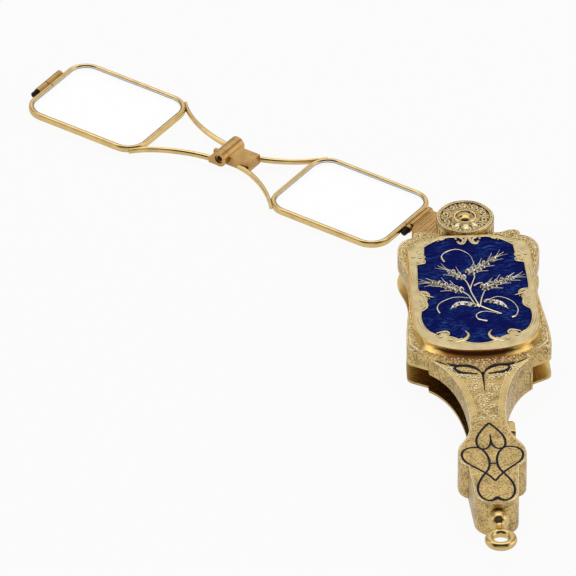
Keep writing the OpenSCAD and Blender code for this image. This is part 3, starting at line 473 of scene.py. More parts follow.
def steel_material(name, colour, roughness):
    """Blued or dark steel with a fine grain."""
    material, tree, shader, place = new_material(name)
    grain = noise(tree, place, 3000.0, 3.0)
    darker = [0.45 * c for c in colour]
    feed(tree, shader, Base_Color=blend_colours(tree, grain, colour, darker), Metallic=1.0,
         Roughness=spread(tree, grain, 0.3, 0.7, roughness - 0.08, roughness + 0.12))
    return material


# Each polished gold: its colour in the settings, its roughness and what differs from the usual
POLISHED = {
    "band_gold": ("case_gold", 0.27, {"waves": 500.0}),
    # The raised relief's paler gold is a painted highlight
    "flower_gold": ("flower_gold", 0.3, {"strength": 0.25, "reach": 0.1}),
    "plain_gold": ("case_gold", 0.22, {"strength": 0.6, "reach": 0.8}),
    "border_gold": ("plaque_gold", 0.25, {"strength": 0.6, "waves": 600.0}),
    "leaf_gold": ("plaque_gold", 0.14, {"strength": 0.4}),
    "spray_gold": ("spray_gold", 0.16, {"strength": 0.4}),
    "bright_gold": ("case_gold", 0.12, {"strength": 0.35}),
    # The slot gold's long reach of occlusion also paints the shade in the slot
    "slot_gold": ("slot_gold", 0.25, {"strength": 0.8, "reach": 4.0}),
    "rim_gold": ("rim_gold", 0.16, {}),
    "hinge_gold": ("hinge_gold", 0.25, {"strength": 0.7}),
}
# Each engraved gold: its colour, the pitch of its dots in millimetres and what differs
ENGRAVED = {
    "engraved_gold": ("case_gold", 0.42, {"chasing": 0.35, "curl": 0.6}),
    "stem_gold": ("case_gold", 0.42, {"depth": 0.045}),
    "drum_gold": ("case_gold", 0.3, {"chasing": 0.5, "curl": 0.5}),
    # The arch's ground takes the darker gold that paints the shade under the cove
    "russet_gold": ("shaded_arch_gold", 0.35, {"roughness": 0.3}),
}
MATERIALS = {}


# Forms, in millimetres
# The angles, in degrees, from which edges stay crisp and from which solids get worn edges
CRISP_ANGLE, WORN_ANGLE = 35, 38


def keep_crisp(piece, angle=CRISP_ANGLE):
    split = piece.modifiers.new("crisp_edges", "EDGE_SPLIT")
    split.split_angle = math.radians(angle)


def skin(first, second, count):
    """Faces between two closed rings of points, each given by its first point's number."""
    return [[first + k, first + (k + 1) % count, second + (k + 1) % count, second + k]
            for k in range(count)]


class Stock:
    """Vertices and faces that are gathered and then become one piece."""

    def __init__(self):
        self.vertices = []
        self.faces = []

    def add(self, vertices, faces):
        start = len(self.vertices)
        self.vertices += [tuple(v) for v in vertices]
        self.faces += [[start + i for i in face] for face in faces]

    def loft(self, rings, closed=False):
        """Skins rings of equal length; an open loft gets flat ends."""
        count, sides = len(rings), len(rings[0])
        spans = count if closed else count - 1
        faces = [face for i in range(spans)
                 for face in skin(i * sides, (i + 1) % count * sides, sides)]
        if not closed:
            faces.append(list(range(sides))[::-1])
            faces.append([(count - 1) * sides + k for k in range(sides)])
        self.add([point for ring in rings for point in ring], faces)

    def wall(self, outline, high, low):
        """An upright wall along a closed outline."""
        count = len(outline)
        self.add([(p.x, p.y, z) for z in (high, low) for p in outline], skin(0, count, count))

    def plate(self, outlines, z):
        """A flat face inside the first outline and outside the others."""
        flats = [[Vector((p.x, p.y, 0)) for p in outline] for outline in outlines]
        self.add([(p.x, p.y, z) for outline in outlines for p in outline],
                 [list(triangle) for triangle in tessellate_polygon(flats)])

    def piece(self, name, body, slot, material, replaces=(), smooth=True,
              sharp=CRISP_ANGLE):
        """Makes the piece, on its body; edges sharper than an angle in degrees stay crisp."""
        mesh = bpy.data.meshes.new(name)
        mesh.from_pydata([[c * MM for c in v] for v in self.vertices], [], self.faces)
        mesh.validate()
        tidy = bmesh.new()
        tidy.from_mesh(mesh)
        bmesh.ops.recalc_face_normals(tidy, faces=tidy.faces)
        tidy.to_mesh(mesh)
        tidy.free()
        mesh.materials.append(MATERIALS[material])
        piece = bpy.data.objects.new(name, mesh)
        bpy.context.scene.collection.objects.link(piece)
        if smooth:
            mesh.shade_smooth()
            keep_crisp(piece, sharp)
        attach(piece, body)
        if replaces:
            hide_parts(*replaces)


def smooth_line(points, steps=6, closed=False):
    """A smooth curve through points of the plane."""
    points = [Vector(p) for p in points]
    last = len(points) - 1
    spans = len(points) if closed else last
    line = []
    for i in range(spans):
        if closed:
            a, b, c, d = (points[(i + k) % len(points)] for k in (-1, 0, 1, 2))
        else:
            a, b, c, d = (points[min(max(i + k, 0), last)] for k in (-1, 0, 1, 2))
        for k in range(steps):
            t = k / steps
            line.append(0.5 * (2 * b + (c - a) * t + (2 * a - 5 * b + 4 * c - d) * t * t
                               + (3 * b - a - 3 * c + d) * t ** 3))
    return line if closed else line + [points[-1]]


def directions(line, closed=False):
    """The unit direction of a line at each of its points."""
    count = len(line)
    found = []
    for i in range(count):
        ahead = line[(i + 1) % count] if closed else line[min(i + 1, count - 1)]
        behind = line[i - 1] if closed else line[max(i - 1, 0)]
        found.append((ahead - behind).normalized())
    return found


def polar(radius, angle):
    return Vector((radius * math.cos(angle), radius * math.sin(angle)))


def mirrored_line(side, points, steps):
    """A smooth line through points given for the right side; side is 1 or -1."""
    return smooth_line([(side * x, y) for x, y in points], steps)


def left_of(direction):
    return Vector((-direction.y, direction.x))


def inset(line, distance, closed=True):
    """The line moved to its left, with mitred corners."""
    moved = []
    count = len(line)
    for i, point in enumerate(line):
        if closed or 0 < i < count - 1:
            before = left_of((point - line[i - 1]).normalized())
            after = left_of((line[(i + 1) % count] - point).normalized())
        else:
            before = after = left_of(directions(line)[i])
        middle = before + after
        middle = middle.normalized() if middle.length > 1e-6 else before
        moved.append(point + middle * distance / max(0.5, middle.dot(before)))
    return moved


def at(value, t):
    """A width that may be a number or a function of the way along."""
    return value(t) if callable(value) else value


def wire(stock, line, z, radius, sides=8, flat=1.0, closed=False):
    """A round or flattened wire along a line of the plane; z is a height or a height at a point."""
    rings = []
    for i, (point, along) in enumerate(zip(line, directions(line, closed))):
        r = at(radius, i / max(1, len(line) - 1))
        across = left_of(along)
        middle = z(point) if callable(z) else z
        rings.append([(point.x + across.x * r * math.cos(a), point.y + across.y * r * math.cos(a),
                       middle + flat * r * math.sin(a))
                      for a in (2 * math.pi * k / sides for k in range(sides))])
    stock.loft(rings, closed)


def inlay(stock, line, width, low, high, closed=False):
    """A flat strip along a line, with slightly rounded upper edges."""
    rings = []
    for i, (point, along) in enumerate(zip(line, directions(line, closed))):
        half = at(width, i / max(1, len(line) - 1)) / 2
        across = left_of(along)
        section = [(-half, low), (-half, high - 0.02), (-0.8 * half, high),
                   (0.8 * half, high), (half, high - 0.02), (half, low)]
        rings.append([(point.x + across.x * x, point.y + across.y * x, z) for x, z in section])
    stock.loft(rings, closed)


def bead(stock, x, y, z, length, width, height, angle=0.0, sides=10, levels=4):
    """A half ellipsoid standing on z, its length along angle in degrees."""
    turn = math.radians(angle)
    rings = []
    for level in range(levels):
        lift = math.pi / 2 * level / levels
        ring = []
        for k in range(sides):
            a = 2 * math.pi * k / sides
            u = length / 2 * math.cos(a) * math.cos(lift)
            v = width / 2 * math.sin(a) * math.cos(lift)
            ring.append((x + u * math.cos(turn) - v * math.sin(turn),
                         y + u * math.sin(turn) + v * math.cos(turn), z + height * math.sin(lift)))
        rings.append(ring)
    vertices = [point for ring in rings for point in ring] + [(x, y, z + height)]
    faces = [face for i in range(levels - 1) for face in skin(i * sides, (i + 1) * sides, sides)]
    top = levels * sides
    faces += [[top - sides + k, top - sides + (k + 1) % sides, top] for k in range(sides)]
    faces.append(list(range(sides))[::-1])
    stock.add(vertices, faces)


def rose_cut(stock, x, y, z, radius, height, turn=0.0, stretch=1.0):
    """A rose-cut stone: a girdle of twelve, a ring of six facets and a low point."""
    def spot(share, angle, rise):
        u, v = share * stretch * math.cos(angle), share / stretch * math.sin(angle)
        return (x + radius * (u * math.cos(turn) - v * math.sin(turn)),
                y + radius * (u * math.sin(turn) + v * math.cos(turn)), z + rise * height)

    girdle = [spot(1.0, math.pi * k / 6, 0.0) for k in range(12)]
    band = [spot(1.0, math.pi * k / 6, 0.25) for k in range(12)]
    shelf = [spot(0.55, math.pi * k / 3, 0.75) for k in range(6)]
    faces = [list(range(12))[::-1], *skin(0, 12, 12)]
    for k in range(6):
        own, after = 24 + k, 24 + (k + 1) % 6
        left, middle, right = 12 + 2 * k, 12 + 2 * k + 1, 12 + (2 * k + 2) % 12
        faces += [[left, middle, own], [middle, right, after],
                  [middle, after, own], [own, after, 30]]
    stock.add(girdle + band + shelf + [(x, y, z + height)], faces)


def scroll(stock, x, y, z, size, angle, hand=1, radius=0.1):
    """A small C scroll that thickens in the middle and ends in a ball."""
    line = []
    for k in range(19):
        t = k / 18
        a = math.radians(angle) + hand * (2.1 * math.pi * t - 0.4)
        line.append(Vector((x, y)) + polar(size * (1.0 - 0.72 * t), a))
    wire(stock, line, z, lambda t: radius * (0.45 + 0.75 * math.sin(math.pi * (0.1 + 0.8 * t))),
         sides=6, flat=0.8)
    bead(stock, line[-1].x, line[-1].y, z, 0.34 * size + 0.12, 0.34 * size + 0.12, 1.3 * radius,
         sides=8, levels=3)


def flower(stock, x, y, z, radius, petals=5, turn=20.0):
    """A small raised flower."""
    for k in range(petals):
        angle = turn + 360 * k / petals
        middle = Vector((x, y)) + polar(0.6 * radius, math.radians(angle))
        bead(stock, *middle, z, 0.85 * radius, 0.7 * radius, 0.22 * radius, angle,
             sides=8, levels=3)
    bead(stock, x, y, z, 0.5 * radius, 0.5 * radius, 0.34 * radius, sides=8, levels=3)


def loops_at(node, z, tolerance=0.004):
    """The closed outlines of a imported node's face that looks up at height z, widest first."""
    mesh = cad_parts[node].data
    spots = {}

    def spot(index):
        co = mesh.vertices[index].co / MM
        return spots.setdefault((round(co.x, 3), round(co.y, 3)), Vector((co.x, co.y)))

    edges = {}
    for polygon in mesh.polygons:
        corners = [mesh.vertices[i].co.z / MM for i in polygon.vertices]
        if max(abs(c - z) for c in corners) > tolerance or polygon.normal.z < 0.9:
            continue
        keys = [(round(spot(i).x, 3), round(spot(i).y, 3)) for i in polygon.vertices]
        for a, b in zip(keys, keys[1:] + keys[:1]):
            if (b, a) in edges:
                del edges[(b, a)]
            else:
                edges[(a, b)] = True
    following = {a: b for a, b in edges}
    loops = []
    while following:
        start, here = next(iter(following.items()))
        del following[start]
        loop = [spots[start]]
        while here != start and here in following:
            loop.append(spots[here])
            here = following.pop(here)
        loops.append(loop)
    return sorted(loops, key=lambda loop: min(p.x for p in loop) - max(p.x for p in loop))


def height_on(node):
    """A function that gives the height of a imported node's upper surface at a point."""
    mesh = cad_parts[node].data
    tree = BVHTree.FromPolygons([v.co / MM for v in mesh.vertices],
                                [tuple(p.vertices) for p in mesh.polygons])

    def height(point):
        hit = tree.ray_cast(Vector((point.x, point.y, 50.0)), Vector((0, 0, -1)))[0]
        return hit.z if hit else 0.0

    return height


def run_of(loop, keep):
    """The stretch of a closed outline where keep is true."""
    wanted = [keep(point) for point in loop]
    start = next(i for i in range(len(loop)) if wanted[i] and not wanted[i - 1])
    turned = loop[start:] + loop[:start]
    run = []
    for point in turned:
        if not keep(point):
            break
        run.append(point)
    return run


def evenly(line, step, closed=False):
    """Points along a line at about equal steps."""
    if closed:
        return evenly([*line, line[0]], step)[:-1]
    spots, left = [line[0]], step
    for a, b in zip(line, line[1:]):
        length = (b - a).length
        while left <= length:
            spots.append(a + (b - a) * (left / length))
            left += step
        left -= length
    return spots


# Finishing the nodes
def finish_node(name, material, soften):
    """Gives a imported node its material, smooth curved faces and slightly worn edges."""
    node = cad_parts[name]
    node.data.materials.clear()
    node.data.materials.append(MATERIALS[material])
    for polygon in node.data.polygons:
        polygon.use_smooth = True
        polygon.material_index = 0
    if soften:
        bevel = node.modifiers.new("worn_edges", "BEVEL")
        bevel.width = bpy.context.scene.lorgnette_gold.softened_edge
        bevel.segments = 2
        bevel.limit_method = "ANGLE"
        bevel.angle_limit = math.radians(WORN_ANGLE)
        bevel.harden_normals = True
    else:
        keep_crisp(node)


def finish_nodes(table):
    for material, soften, names in table:
        for name in names:
            finish_node(name, material, soften)


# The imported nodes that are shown: their material, whether their edges are worn, and their names
CASE_FINISHES = (
    ("engraved_gold", True, ("front_cover",)),
    ("drum_gold", True, ("drum_cap",)),
    ("stem_gold", True, ("stem_cover", "stem_block", "stem_spacer")),
    ("plain_gold", True, ("back_plate", "drum_housing", "liner_plate")),
    # Painted shade: the pieces inside the slot take the darker slot gold
    ("slot_gold", True, ("pivot_post", "spring_arbor", "catch_pin")),
    ("bright_gold", True, ("push_piece",)),
    ("bright_gold", False, ("finial", "chain_ring", "pivot_screw")),
    ("line_enamel", False, ("tracery_inlay",)),
    ("blue_enamel", False, ("enamel_panel",)),
)
LENS_FINISHES = (
    ("rim_gold", True, ("inner_rim", "outer_rim", "inner_bridge_arms", "outer_bridge_arms")),
    # Painted shade: the hinges and the arm take the darker hinge gold
    ("hinge_gold", True, ("inner_closing_barrels", "outer_closing_barrels", "middle_knuckle",
                          "end_knuckles", "lens_arm")),
    ("glass", False, ("inner_lens", "outer_lens")),
    ("dark_steel", False, ("inner_closing_screw", "outer_closing_screw", "bridge_pin")),
    ("steel", False, ("swing_spring", "bridge_spring", "push_spring", "catch_lever")),
)


class LORGNETTE_OT_materials(bpy.types.Operator):
    """Makes the shared effects and every metal, enamel, stone and glass"""
    bl_idname = "lorgnette.materials"
    bl_label = "Make the materials"

    def execute(self, context):
        gold = context.scene.lorgnette_gold
        GROUPS.update(stippled_ground=stipple_group(), patina=patina_and_shade_group(),
                      hand_polish=polish_group(), chased_scrolls=chasing_group())
        for make, table in ((gold_material, POLISHED), (engraved_material, ENGRAVED)):
            for name, (metal, value, more) in table.items():
                MATERIALS[name] = make(name, getattr(gold, metal), value, **more)
        MATERIALS.update(
            cove_gold=cove_material(gold),
            blue_enamel=blue_enamel_material(),
            line_enamel=line_enamel_material(),
            stone=stone_material(),
            glass=glass_material(),
            steel=steel_material("spring_steel", (0.30, 0.31, 0.35), 0.3),
            dark_steel=steel_material("dark_steel", (0.035, 0.025, 0.02), 0.35))
        return {"FINISHED"}


class LORGNETTE_OT_case(bpy.types.Operator):
    """Finishes the plates, the covers and the stem of the case"""
    bl_idname = "lorgnette.case"
    bl_label = "Finish the case"

    def execute(self, context):
        finish_nodes(CASE_FINISHES)
        return {"FINISHED"}


# Where the open lenses point, in degrees, and the lowest place for a ridge of the lug
LENS_ANGLE = 142.3
LUG_LOWEST = 2.2
LUG_ARCS = (6.5, 7.4, 8.3)
# Each ridge of the lug: its distance from the pivot and its radius
LUG_RIDGES = ((12.3, 0.15), (11.7, 0.09), (11.1, 0.13), (10.5, 0.09), (9.7, 0.12))


class LORGNETTE_OT_lenses(bpy.types.Operator):
    """Finishes the rims, the lenses, the bridge and the arm that carries them"""
    bl_idname = "lorgnette.lenses"
    bl_label = "Finish the lens pair"

    def execute(self, context):
        finish_nodes(LENS_FINISHES)
        self.make_lug()
        return {"FINISHED"}

    def make_lug(self):
        """Ridges beside the rim and arcs round the drum, on the arm that carries the lenses."""
        turn = math.radians(LENS_ANGLE)
        along = polar(1.0, turn)
        across = left_of(along)
        height = height_on("lens_arm")
        stock = Stock()
        for reach, radius in LUG_RIDGES:
            line = [along * reach + across * 0.15 * k for k in range(-60, 61)]
            line = [point for point in line if height(point) > LUG_LOWEST][1:-1]
            wire(stock, line, height, radius, sides=6)
        for radius in LUG_ARCS:
            arc = [polar(radius, turn + math.radians(3 * k)) for k in range(-25, 26)]
            arc = [point for point in arc if height(point) > LUG_LOWEST][1:-1]
            wire(stock, arc, height, 0.11, sides=6)
        # The lug's ridges take the darker hinge gold, which paints their shade
        stock.piece("lug_relief", "inner_frame", "hinge_gold", "hinge_gold")


# Plaque
# How far the thin flat plates stand above the solids, and how deep their edges go
PLATE_LIFT, PLATE_EDGE = 0.012, 0.1
# The height of the plaque's lip, and the steps along its outline
LIP_HEIGHT = 0.35
OUTLINE_STEP = 0.45
# Where the enamel's two lower horns start, beside and above the foot of the plaque
HORN_X, HORN_Y = 4.2, -38.0
# The stretch of the cove that has a matted ground under it, and where the arch ends
GROUND_X, GROUND_Y, ARCH_END_Y = 8.6, -40.0, -47.5


def reach_outward(point, outward, outline, limit):
    """How far a point may move outward before it meets the outline, up to limit."""
    farthest = 0.0
    for a, b in zip(outline, outline[1:] + outline[:1]):
        edge = b - a
        cross = outward.x * edge.y - outward.y * edge.x
        if abs(cross) < 1e-9:
            continue
        way = a - point
        t = (way.x * edge.y - way.y * edge.x) / cross
        s = (way.x * outward.y - way.y * outward.x) / cross
        if t > 0 and 0 <= s <= 1:
            farthest = max(farthest, t)
    return min(limit, farthest)


# The right half of the plaque's ornament; the left half mirrors it
PLAQUE_CURLS = (
    ((3.4, -6.9), (2.0, -7.2), (1.1, -7.8), (1.1, -8.7), (1.8, -9.6)),
    ((4.4, -7.1), (5.2, -7.9), (6.2, -7.8), (6.9, -8.5)),
    ((7.4, -8.0), (8.1, -8.9), (9.0, -9.2), (9.6, -10.2)),
    ((11.2, -25.4), (10.2, -26.6), (8.9, -27.3), (8.0, -27.6)),
    ((10.0, -27.2), (9.8, -28.6), (9.5, -30.4), (10.1, -31.6), (11.3, -32.8)),
    ((8.4, -40.0), (7.2, -39.6), (6.3, -39.5), (5.8, -40.2), (6.3, -40.8)),
    ((11.6, -17.4), (11.9, -20.0), (11.7, -23.0)),
    ((11.7, -34.0), (11.2, -37.0), (10.2, -39.2)),
)
PLAQUE_LEAVES = ((10.0, -12.2, 1.3, 50), (9.9, -13.8, 1.2, 15), (10.2, -15.3, 1.2, -30),
                 (11.2, -13.6, 1.1, 10), (10.7, -28.8, 1.0, 70), (10.6, -30.2, 0.9, 100),
                 (7.6, -41.3, 1.2, 15), (5.6, -42.4, 1.4, -5), (3.6, -42.2, 1.0, -20),
                 (2.4, -7.7, 0.8, 60))
PLAQUE_HORN = ((4.9, -43.2), (3.5, -42.7), (2.4, -41.7), (2.05, -40.5), (2.65, -39.2))
PLAQUE_DOTS = ((9.1, -12.6), (8.9, -13.9), (9.2, -15.2), (8.3, -40.6), (9.0, -28.0), (6.0, -8.4))


class LORGNETTE_OT_plaque(bpy.types.Operator):
    """Makes the gold frame of the plaque: a polished cove, a lip and a chased border"""
    bl_idname = "lorgnette.plaque"
    bl_label = "Make the plaque"

    def execute(self, context):
        sizes = context.scene.lorgnette_relief
        outer, field = loops_at("plaque_frame", PLAQUE_TOP)[:2]
        outer = smooth_line(evenly(outer, 2 * OUTLINE_STEP, closed=True), 3, closed=True)
        field = self.without_horns(field)
        self.make_fill()
        self.make_moulding(outer, sizes.cove / MM)
        self.make_border(outer, field)
        self.make_scrolls(outer, field, sizes.bead / MM)
        return {"FINISHED"}

    def without_horns(self, field):
        """The enamel's outline with a plain curve in place of its two lower horns."""
        bottom = min(p.y for p in field)
        run = run_of(field, lambda p: abs(p.x) > HORN_X or p.y > HORN_Y)
        a, b = run[-1], run[0]
        for k in range(1, 12):
            x = a.x + (b.x - a.x) * k / 12
            side = a if x * a.x > 0 else b
            run.append(Vector((x, bottom + 0.02 + (side.y - bottom) * (x / side.x) ** 2)))
        return run

    def make_fill(self):
        """Enamel where the solid has its horns."""
        fill = Stock()
        corners = [(-3.6, -44.0), (3.6, -44.0), (3.6, -39.0), (-3.6, -39.0)]
        fill.loft([[(x, y, z) for x, y in corners]
                   for z in (ENAMEL_TOP - PLATE_EDGE, ENAMEL_TOP + 0.5 * PLATE_LIFT)])
        fill.piece("enamel_fill", "case", "blue_enamel", "blue_enamel", smooth=False)

    def make_moulding(self, outer, cove):
        """The polished cove and the lip, with the cove's foot kept on the case."""
        head = loops_at("front_cover", CASE_TOP)[0]
        stem = loops_at("stem_cover", CASE_TOP)[0]
        low, high = CASE_TOP, PLAQUE_TOP - LIP_HEIGHT
        rings, feet = [], []
        outer = evenly(outer, OUTLINE_STEP, closed=True)
        moved = inset(outer, 1.0)
        for point, inner in zip(outer, moved):
            outward = (point - inner).normalized()
            wanted = cove * (0.3 + 0.7 * min(1.0, max(0.0, -1.5 * outward.y)))
            feet.append(max(reach_outward(point, outward, head, wanted),
                            reach_outward(point, outward, stem, wanted)) - 0.03)
        feet = self.levelled(feet)
        for _ in range(10):
            feet = [min(foot, (feet[k - 1] + 2 * foot + feet[(k + 1) % len(feet)]) / 4)
                    for k, foot in enumerate(feet)]
        for point, inner, foot in zip(outer, moved, feet):
            inward = inner - point
            profile = [(-foot, low)]
            for k in range(1, 9):
                t = k / 8
                profile.append((-foot + (foot + 0.3) * t,
                                low + (high - low) * (0.8 * t + 0.2 * t ** 4)))
            profile += [(0.12, high), (0.03, high + 0.03), (0.0, high + 0.1),
                        (0.0, PLAQUE_TOP - 0.12), (0.05, PLAQUE_TOP - 0.04),
                        (0.16, PLAQUE_TOP), (0.5, PLAQUE_TOP), (0.5, low)]
            rings.append([(point.x + inward.x * x, point.y + inward.y * x, z) for x, z in profile])
        stock = Stock()
        stock.loft(rings, closed=True)
        stock.piece("plaque_moulding", "case", "yellow_gold", "cove_gold",
                    replaces=("plaque_frame",), sharp=50)
        self.make_grains([(point, (point - inner).normalized(), foot)
                          for point, inner, foot in zip(outer, moved, feet)
                          if abs(point.x) < GROUND_X and point.y < GROUND_Y])

    def levelled(self, feet):
        """The feet without single dips; the last two take the least of their neighbours."""
        level = list(feet)
        for k in range(2, len(feet) - 2):
            level[k] = sorted(feet[k - 2:k + 3])[-2]
        level[-2:] = [min(feet[-4:]), min(feet[-3:])]
        return level

    def make_grains(self, spots):
        """The matted ground between the cove and the arch, in a darker gold that paints the shade
        under the cove, with its rows of grains.
        """
        top = CASE_TOP + PLATE_LIFT
        arch = smooth_line([(x, y + 0.1) for x, y in ARCH_LINES[0]], 8)

        def arch_at(x):
            for a, b in zip(arch, arch[1:]):
                if a.x <= abs(x) <= b.x:
                    return a.y + (b.y - a.y) * (abs(x) - a.x) / (b.x - a.x)
            return ARCH_END_Y

        spots.sort(key=lambda spot: spot[0].x)
        upper = [point + outward * (foot - 0.15) for point, outward, foot in spots]
        lower = [Vector((p.x, min(arch_at(p.x), p.y - 0.05))) for p in upper]
        ground, grains = Stock(), Stock()
        rim = upper + lower[::-1]
        ground.plate([rim], top)
        ground.wall(rim, top, top - PLATE_EDGE)
        ground.piece("arch_ground", "case", "yellow_gold", "russet_gold", smooth=False)
        for k, (point, outward, foot) in enumerate(spots):
            for row in range(k % 2, 9, 2):
                spot = point + outward * (foot + 0.28 + 0.42 * row)
                spot += Vector((0.2 * math.sin(5 * k + 4 * row), 0.16 * math.sin(9 * k + row)))
                if spot.y > arch_at(spot.x) + 0.4:
                    size = 0.48 + 0.16 * math.sin(7 * k + 3 * row)
                    bead(grains, spot.x, spot.y, top - 0.02, size, 0.8 * size, 0.2, 40 * k,
                         sides=8, levels=3)
        grains.piece("arch_grains", "case", "yellow_gold", "flower_gold")

    def make_border(self, outer, field):
        """The flat chased face between the lip and the enamel, with its inner wall."""
        edge = inset(outer, 0.3)
        top = PLAQUE_TOP + PLATE_LIFT
        stock = Stock()
        stock.plate([edge, field], top)
        stock.wall(field, top, ENAMEL_TOP - PLATE_EDGE)
        stock.wall(edge, top, top - PLATE_EDGE)
        stock.piece("plaque_border", "case", "yellow_gold", "border_gold", smooth=False)

    def make_scrolls(self, outer, field, line):
        """The raised lines beside the lip and the enamel, the curls and the shells."""
        stock = Stock()
        top = PLAQUE_TOP
        wire(stock, inset(outer, 0.2), top - 0.02, 0.09, closed=True)
        wire(stock, inset(outer, 0.62), top - 0.03, 0.07, closed=True)
        wire(stock, field, top + 0.01, line, sides=8, flat=0.8, closed=True)
        for side in (-1, 1):
            for curl in PLAQUE_CURLS:
                wire(stock, mirrored_line(side, curl, 6), top + 0.02,
                     lambda t: 0.07 + 0.17 * math.sin(math.pi * min(1.0, 0.1 + t)), flat=0.7)
            for x, y, size, turn in PLAQUE_LEAVES:
                bead(stock, side * x, y, top, size, 0.6 * size, 0.2, angle=side * turn)
            for x, y in PLAQUE_DOTS:
                bead(stock, side * x, y, top, 0.36, 0.36, 0.2, sides=8, levels=3)
            wire(stock, mirrored_line(side, PLAQUE_HORN, 8), top - 0.05,
                 lambda t: 0.05 + 0.36 * math.sin(math.pi * min(1.0, 0.25 + 0.75 * t)),
                 sides=10, flat=0.6)
        stock.piece("plaque_scrolls", "case", "yellow_gold", "leaf_gold")


# Spray of wheat; each ear is a line and how many rows of stones it has
TENDRILS = (
    ((-5.1, -15.6), (-5.6, -13.7), (-4.7, -12.1), (-2.6, -11.2), (-0.9, -12.1), (0.2, -13.8),
     (0.7, -16.9)),
    ((-7.2, -33.2), (-7.6, -31.1), (-6.5, -29.1), (-3.8, -27.7), (-0.6, -28.2)),
    ((6.9, -35.1), (7.9, -34.4), (8.3, -32.1), (7.1, -29.3), (4.6, -27.9), (2.5, -29.0)),
    ((2.0, -36.2), (0.3, -35.4), (0.0, -33.9), (1.2, -32.9), (2.8, -33.0), (4.7, -33.9)),
)
STALKS = (
    ((0.9, -31.3), (0.0, -28.2), (-0.6, -25.4), (-0.1, -23.0), (0.5, -20.6), (-0.3, -18.9)),
    ((0.9, -31.3), (1.3, -28.9), (1.8, -26.9), (2.4, -25.2)),
    ((0.9, -31.3), (-0.2, -29.9), (-1.2, -27.1), (-2.8, -25.3)),
    ((-0.6, -25.4), (-1.1, -22.9), (-1.9, -21.0)),
    ((0.0, -30.2), (2.5, -32.1), (5.0, -33.8)),
    ((0.1, -24.0), (1.0, -23.2), (1.9, -23.0)),
)
EARS = (
    (((-0.5, -19.2), (0.9, -18.1), (2.6, -16.6), (4.7, -14.6)), 6),
    (((2.0, -24.6), (3.6, -23.8), (5.6, -22.5), (7.8, -21.6)), 6),
    (((-2.5, -25.4), (-4.4, -24.3), (-6.2, -23.0), (-8.2, -22.5)), 6),
    (((-1.9, -21.2), (-2.5, -20.3), (-3.4, -19.4), (-4.3, -18.6)), 3),
)
LEAVES = (
    ((0.2, -30.9), (-1.2, -30.1), (-2.9, -29.8), (-4.2, -30.6), (-5.0, -31.8)),
    ((2.2, -29.1), (3.3, -29.4), (4.6, -29.8), (5.7, -30.9), (6.4, -32.2)),
)
STONE_STRETCH = 1.2


class LORGNETTE_OT_spray(bpy.types.Operator):
    """Makes the gold spray of wheat on the enamel and sets its rose-cut stones"""
    bl_idname = "lorgnette.spray"
    bl_label = "Make the spray"

    def execute(self, context):
        sizes = context.scene.lorgnette_spray
        self.gold, self.stones = Stock(), Stock()
        self.stem = sizes.stem / MM
        self.stone = sizes.stone / MM
        self.floor = ENAMEL_TOP
        for line in TENDRILS:
            wire(self.gold, smooth_line(line, 8), self.floor + 0.08,
                 lambda t: self.stem * (0.35 + 1.1 * (1 - t) ** 2), flat=0.9)
        for line in STALKS:
            wire(self.gold, smooth_line(line, 8), self.floor + 0.08,
                 lambda t: self.stem * (1.25 - 0.5 * t), flat=0.9)
        for line, rows in EARS:
            self.make_ear(smooth_line(line, 12), rows)
        for line in LEAVES:
            self.make_leaf(smooth_line(line, 8))
        self.gold.piece("spray_of_wheat", "case", "yellow_gold", "spray_gold",
                        replaces=("wheat_spray",))
        self.stones.piece("spray_stones", "case", "diamond", "stone",
                          replaces=("rose_stones",), smooth=False)
        return {"FINISHED"}

    def set_stone(self, x, y, size, angle):
        """A stone in a thin collet."""
        bead(self.gold, x, y, self.floor, 2.6 * size * STONE_STRETCH,
             2.3 * size / STONE_STRETCH, 0.2, angle, levels=3)
        rose_cut(self.stones, x, y, self.floor + 0.12, size, 0.42, math.radians(angle),
                 STONE_STRETCH)

    def make_ear(self, line, rows):
        """Paired stones with awns between them, up to a last stone with three awns."""
        wire(self.gold, line, self.floor + 0.08, lambda t: self.stem * (1 - 0.5 * t))
        paths = directions(line)
        for i in range(rows):
            t = (i + 0.4) / rows
            k = round(t * (len(line) - 1))
            point, along = line[k], paths[k]
            across = left_of(along)
            angle = math.degrees(math.atan2(along.y, along.x))
            size = self.stone * (1.05 - 0.35 * t)
            for side in (-1, 1):
                spot = point + across * side * (0.62 - 0.2 * t)
                self.set_stone(spot.x, spot.y, size, angle + 25 * side)
                if (i + side) % 2:
                    continue
                start = spot + across * side * 0.2
                tip = start + along * (2.3 - 0.5 * t) + across * side * (1.5 - 0.7 * t)
                middle = (start + tip) / 2 + along * 0.15
                wire(self.gold, smooth_line([start, middle, tip], 4), self.floor + 0.06,
                     lambda t: 0.095 - 0.05 * t, sides=6)
            if i % 2 == 0:
                spot = point + along * 0.45
                self.set_stone(spot.x, spot.y, 0.72 * size, angle)
        end, along = line[-1], paths[-1]
        self.set_stone(end.x, end.y, 0.75 * self.stone, 0)
        for bend in (-0.35, 0.0, 0.35):
            across = left_of(along)
            tip = end + along * 3.0 + across * bend * 3
            wire(self.gold, smooth_line([end, end + along * 1.4 + across * bend, tip], 4),
                 self.floor + 0.06, lambda t: 0.085 - 0.05 * t, sides=6)

    def make_leaf(self, line):
        """A flat leaf with a rib and four stones that get smaller towards its tip."""
        inlay(self.gold, line, lambda t: 1.15 * math.sin(math.pi * min(1, t + 0.12)) ** 0.7 + 0.12,
              self.floor - 0.02, self.floor + 0.13)
        wire(self.gold, line, self.floor + 0.13, lambda t: 0.09 * (1.1 - t), sides=6)
        for i in range(4):
            point = line[round((0.12 + 0.2 * i) * (len(line) - 1))]
            self.set_stone(point.x, point.y, self.stone * (1.25 - 0.16 * i), 30 * i)


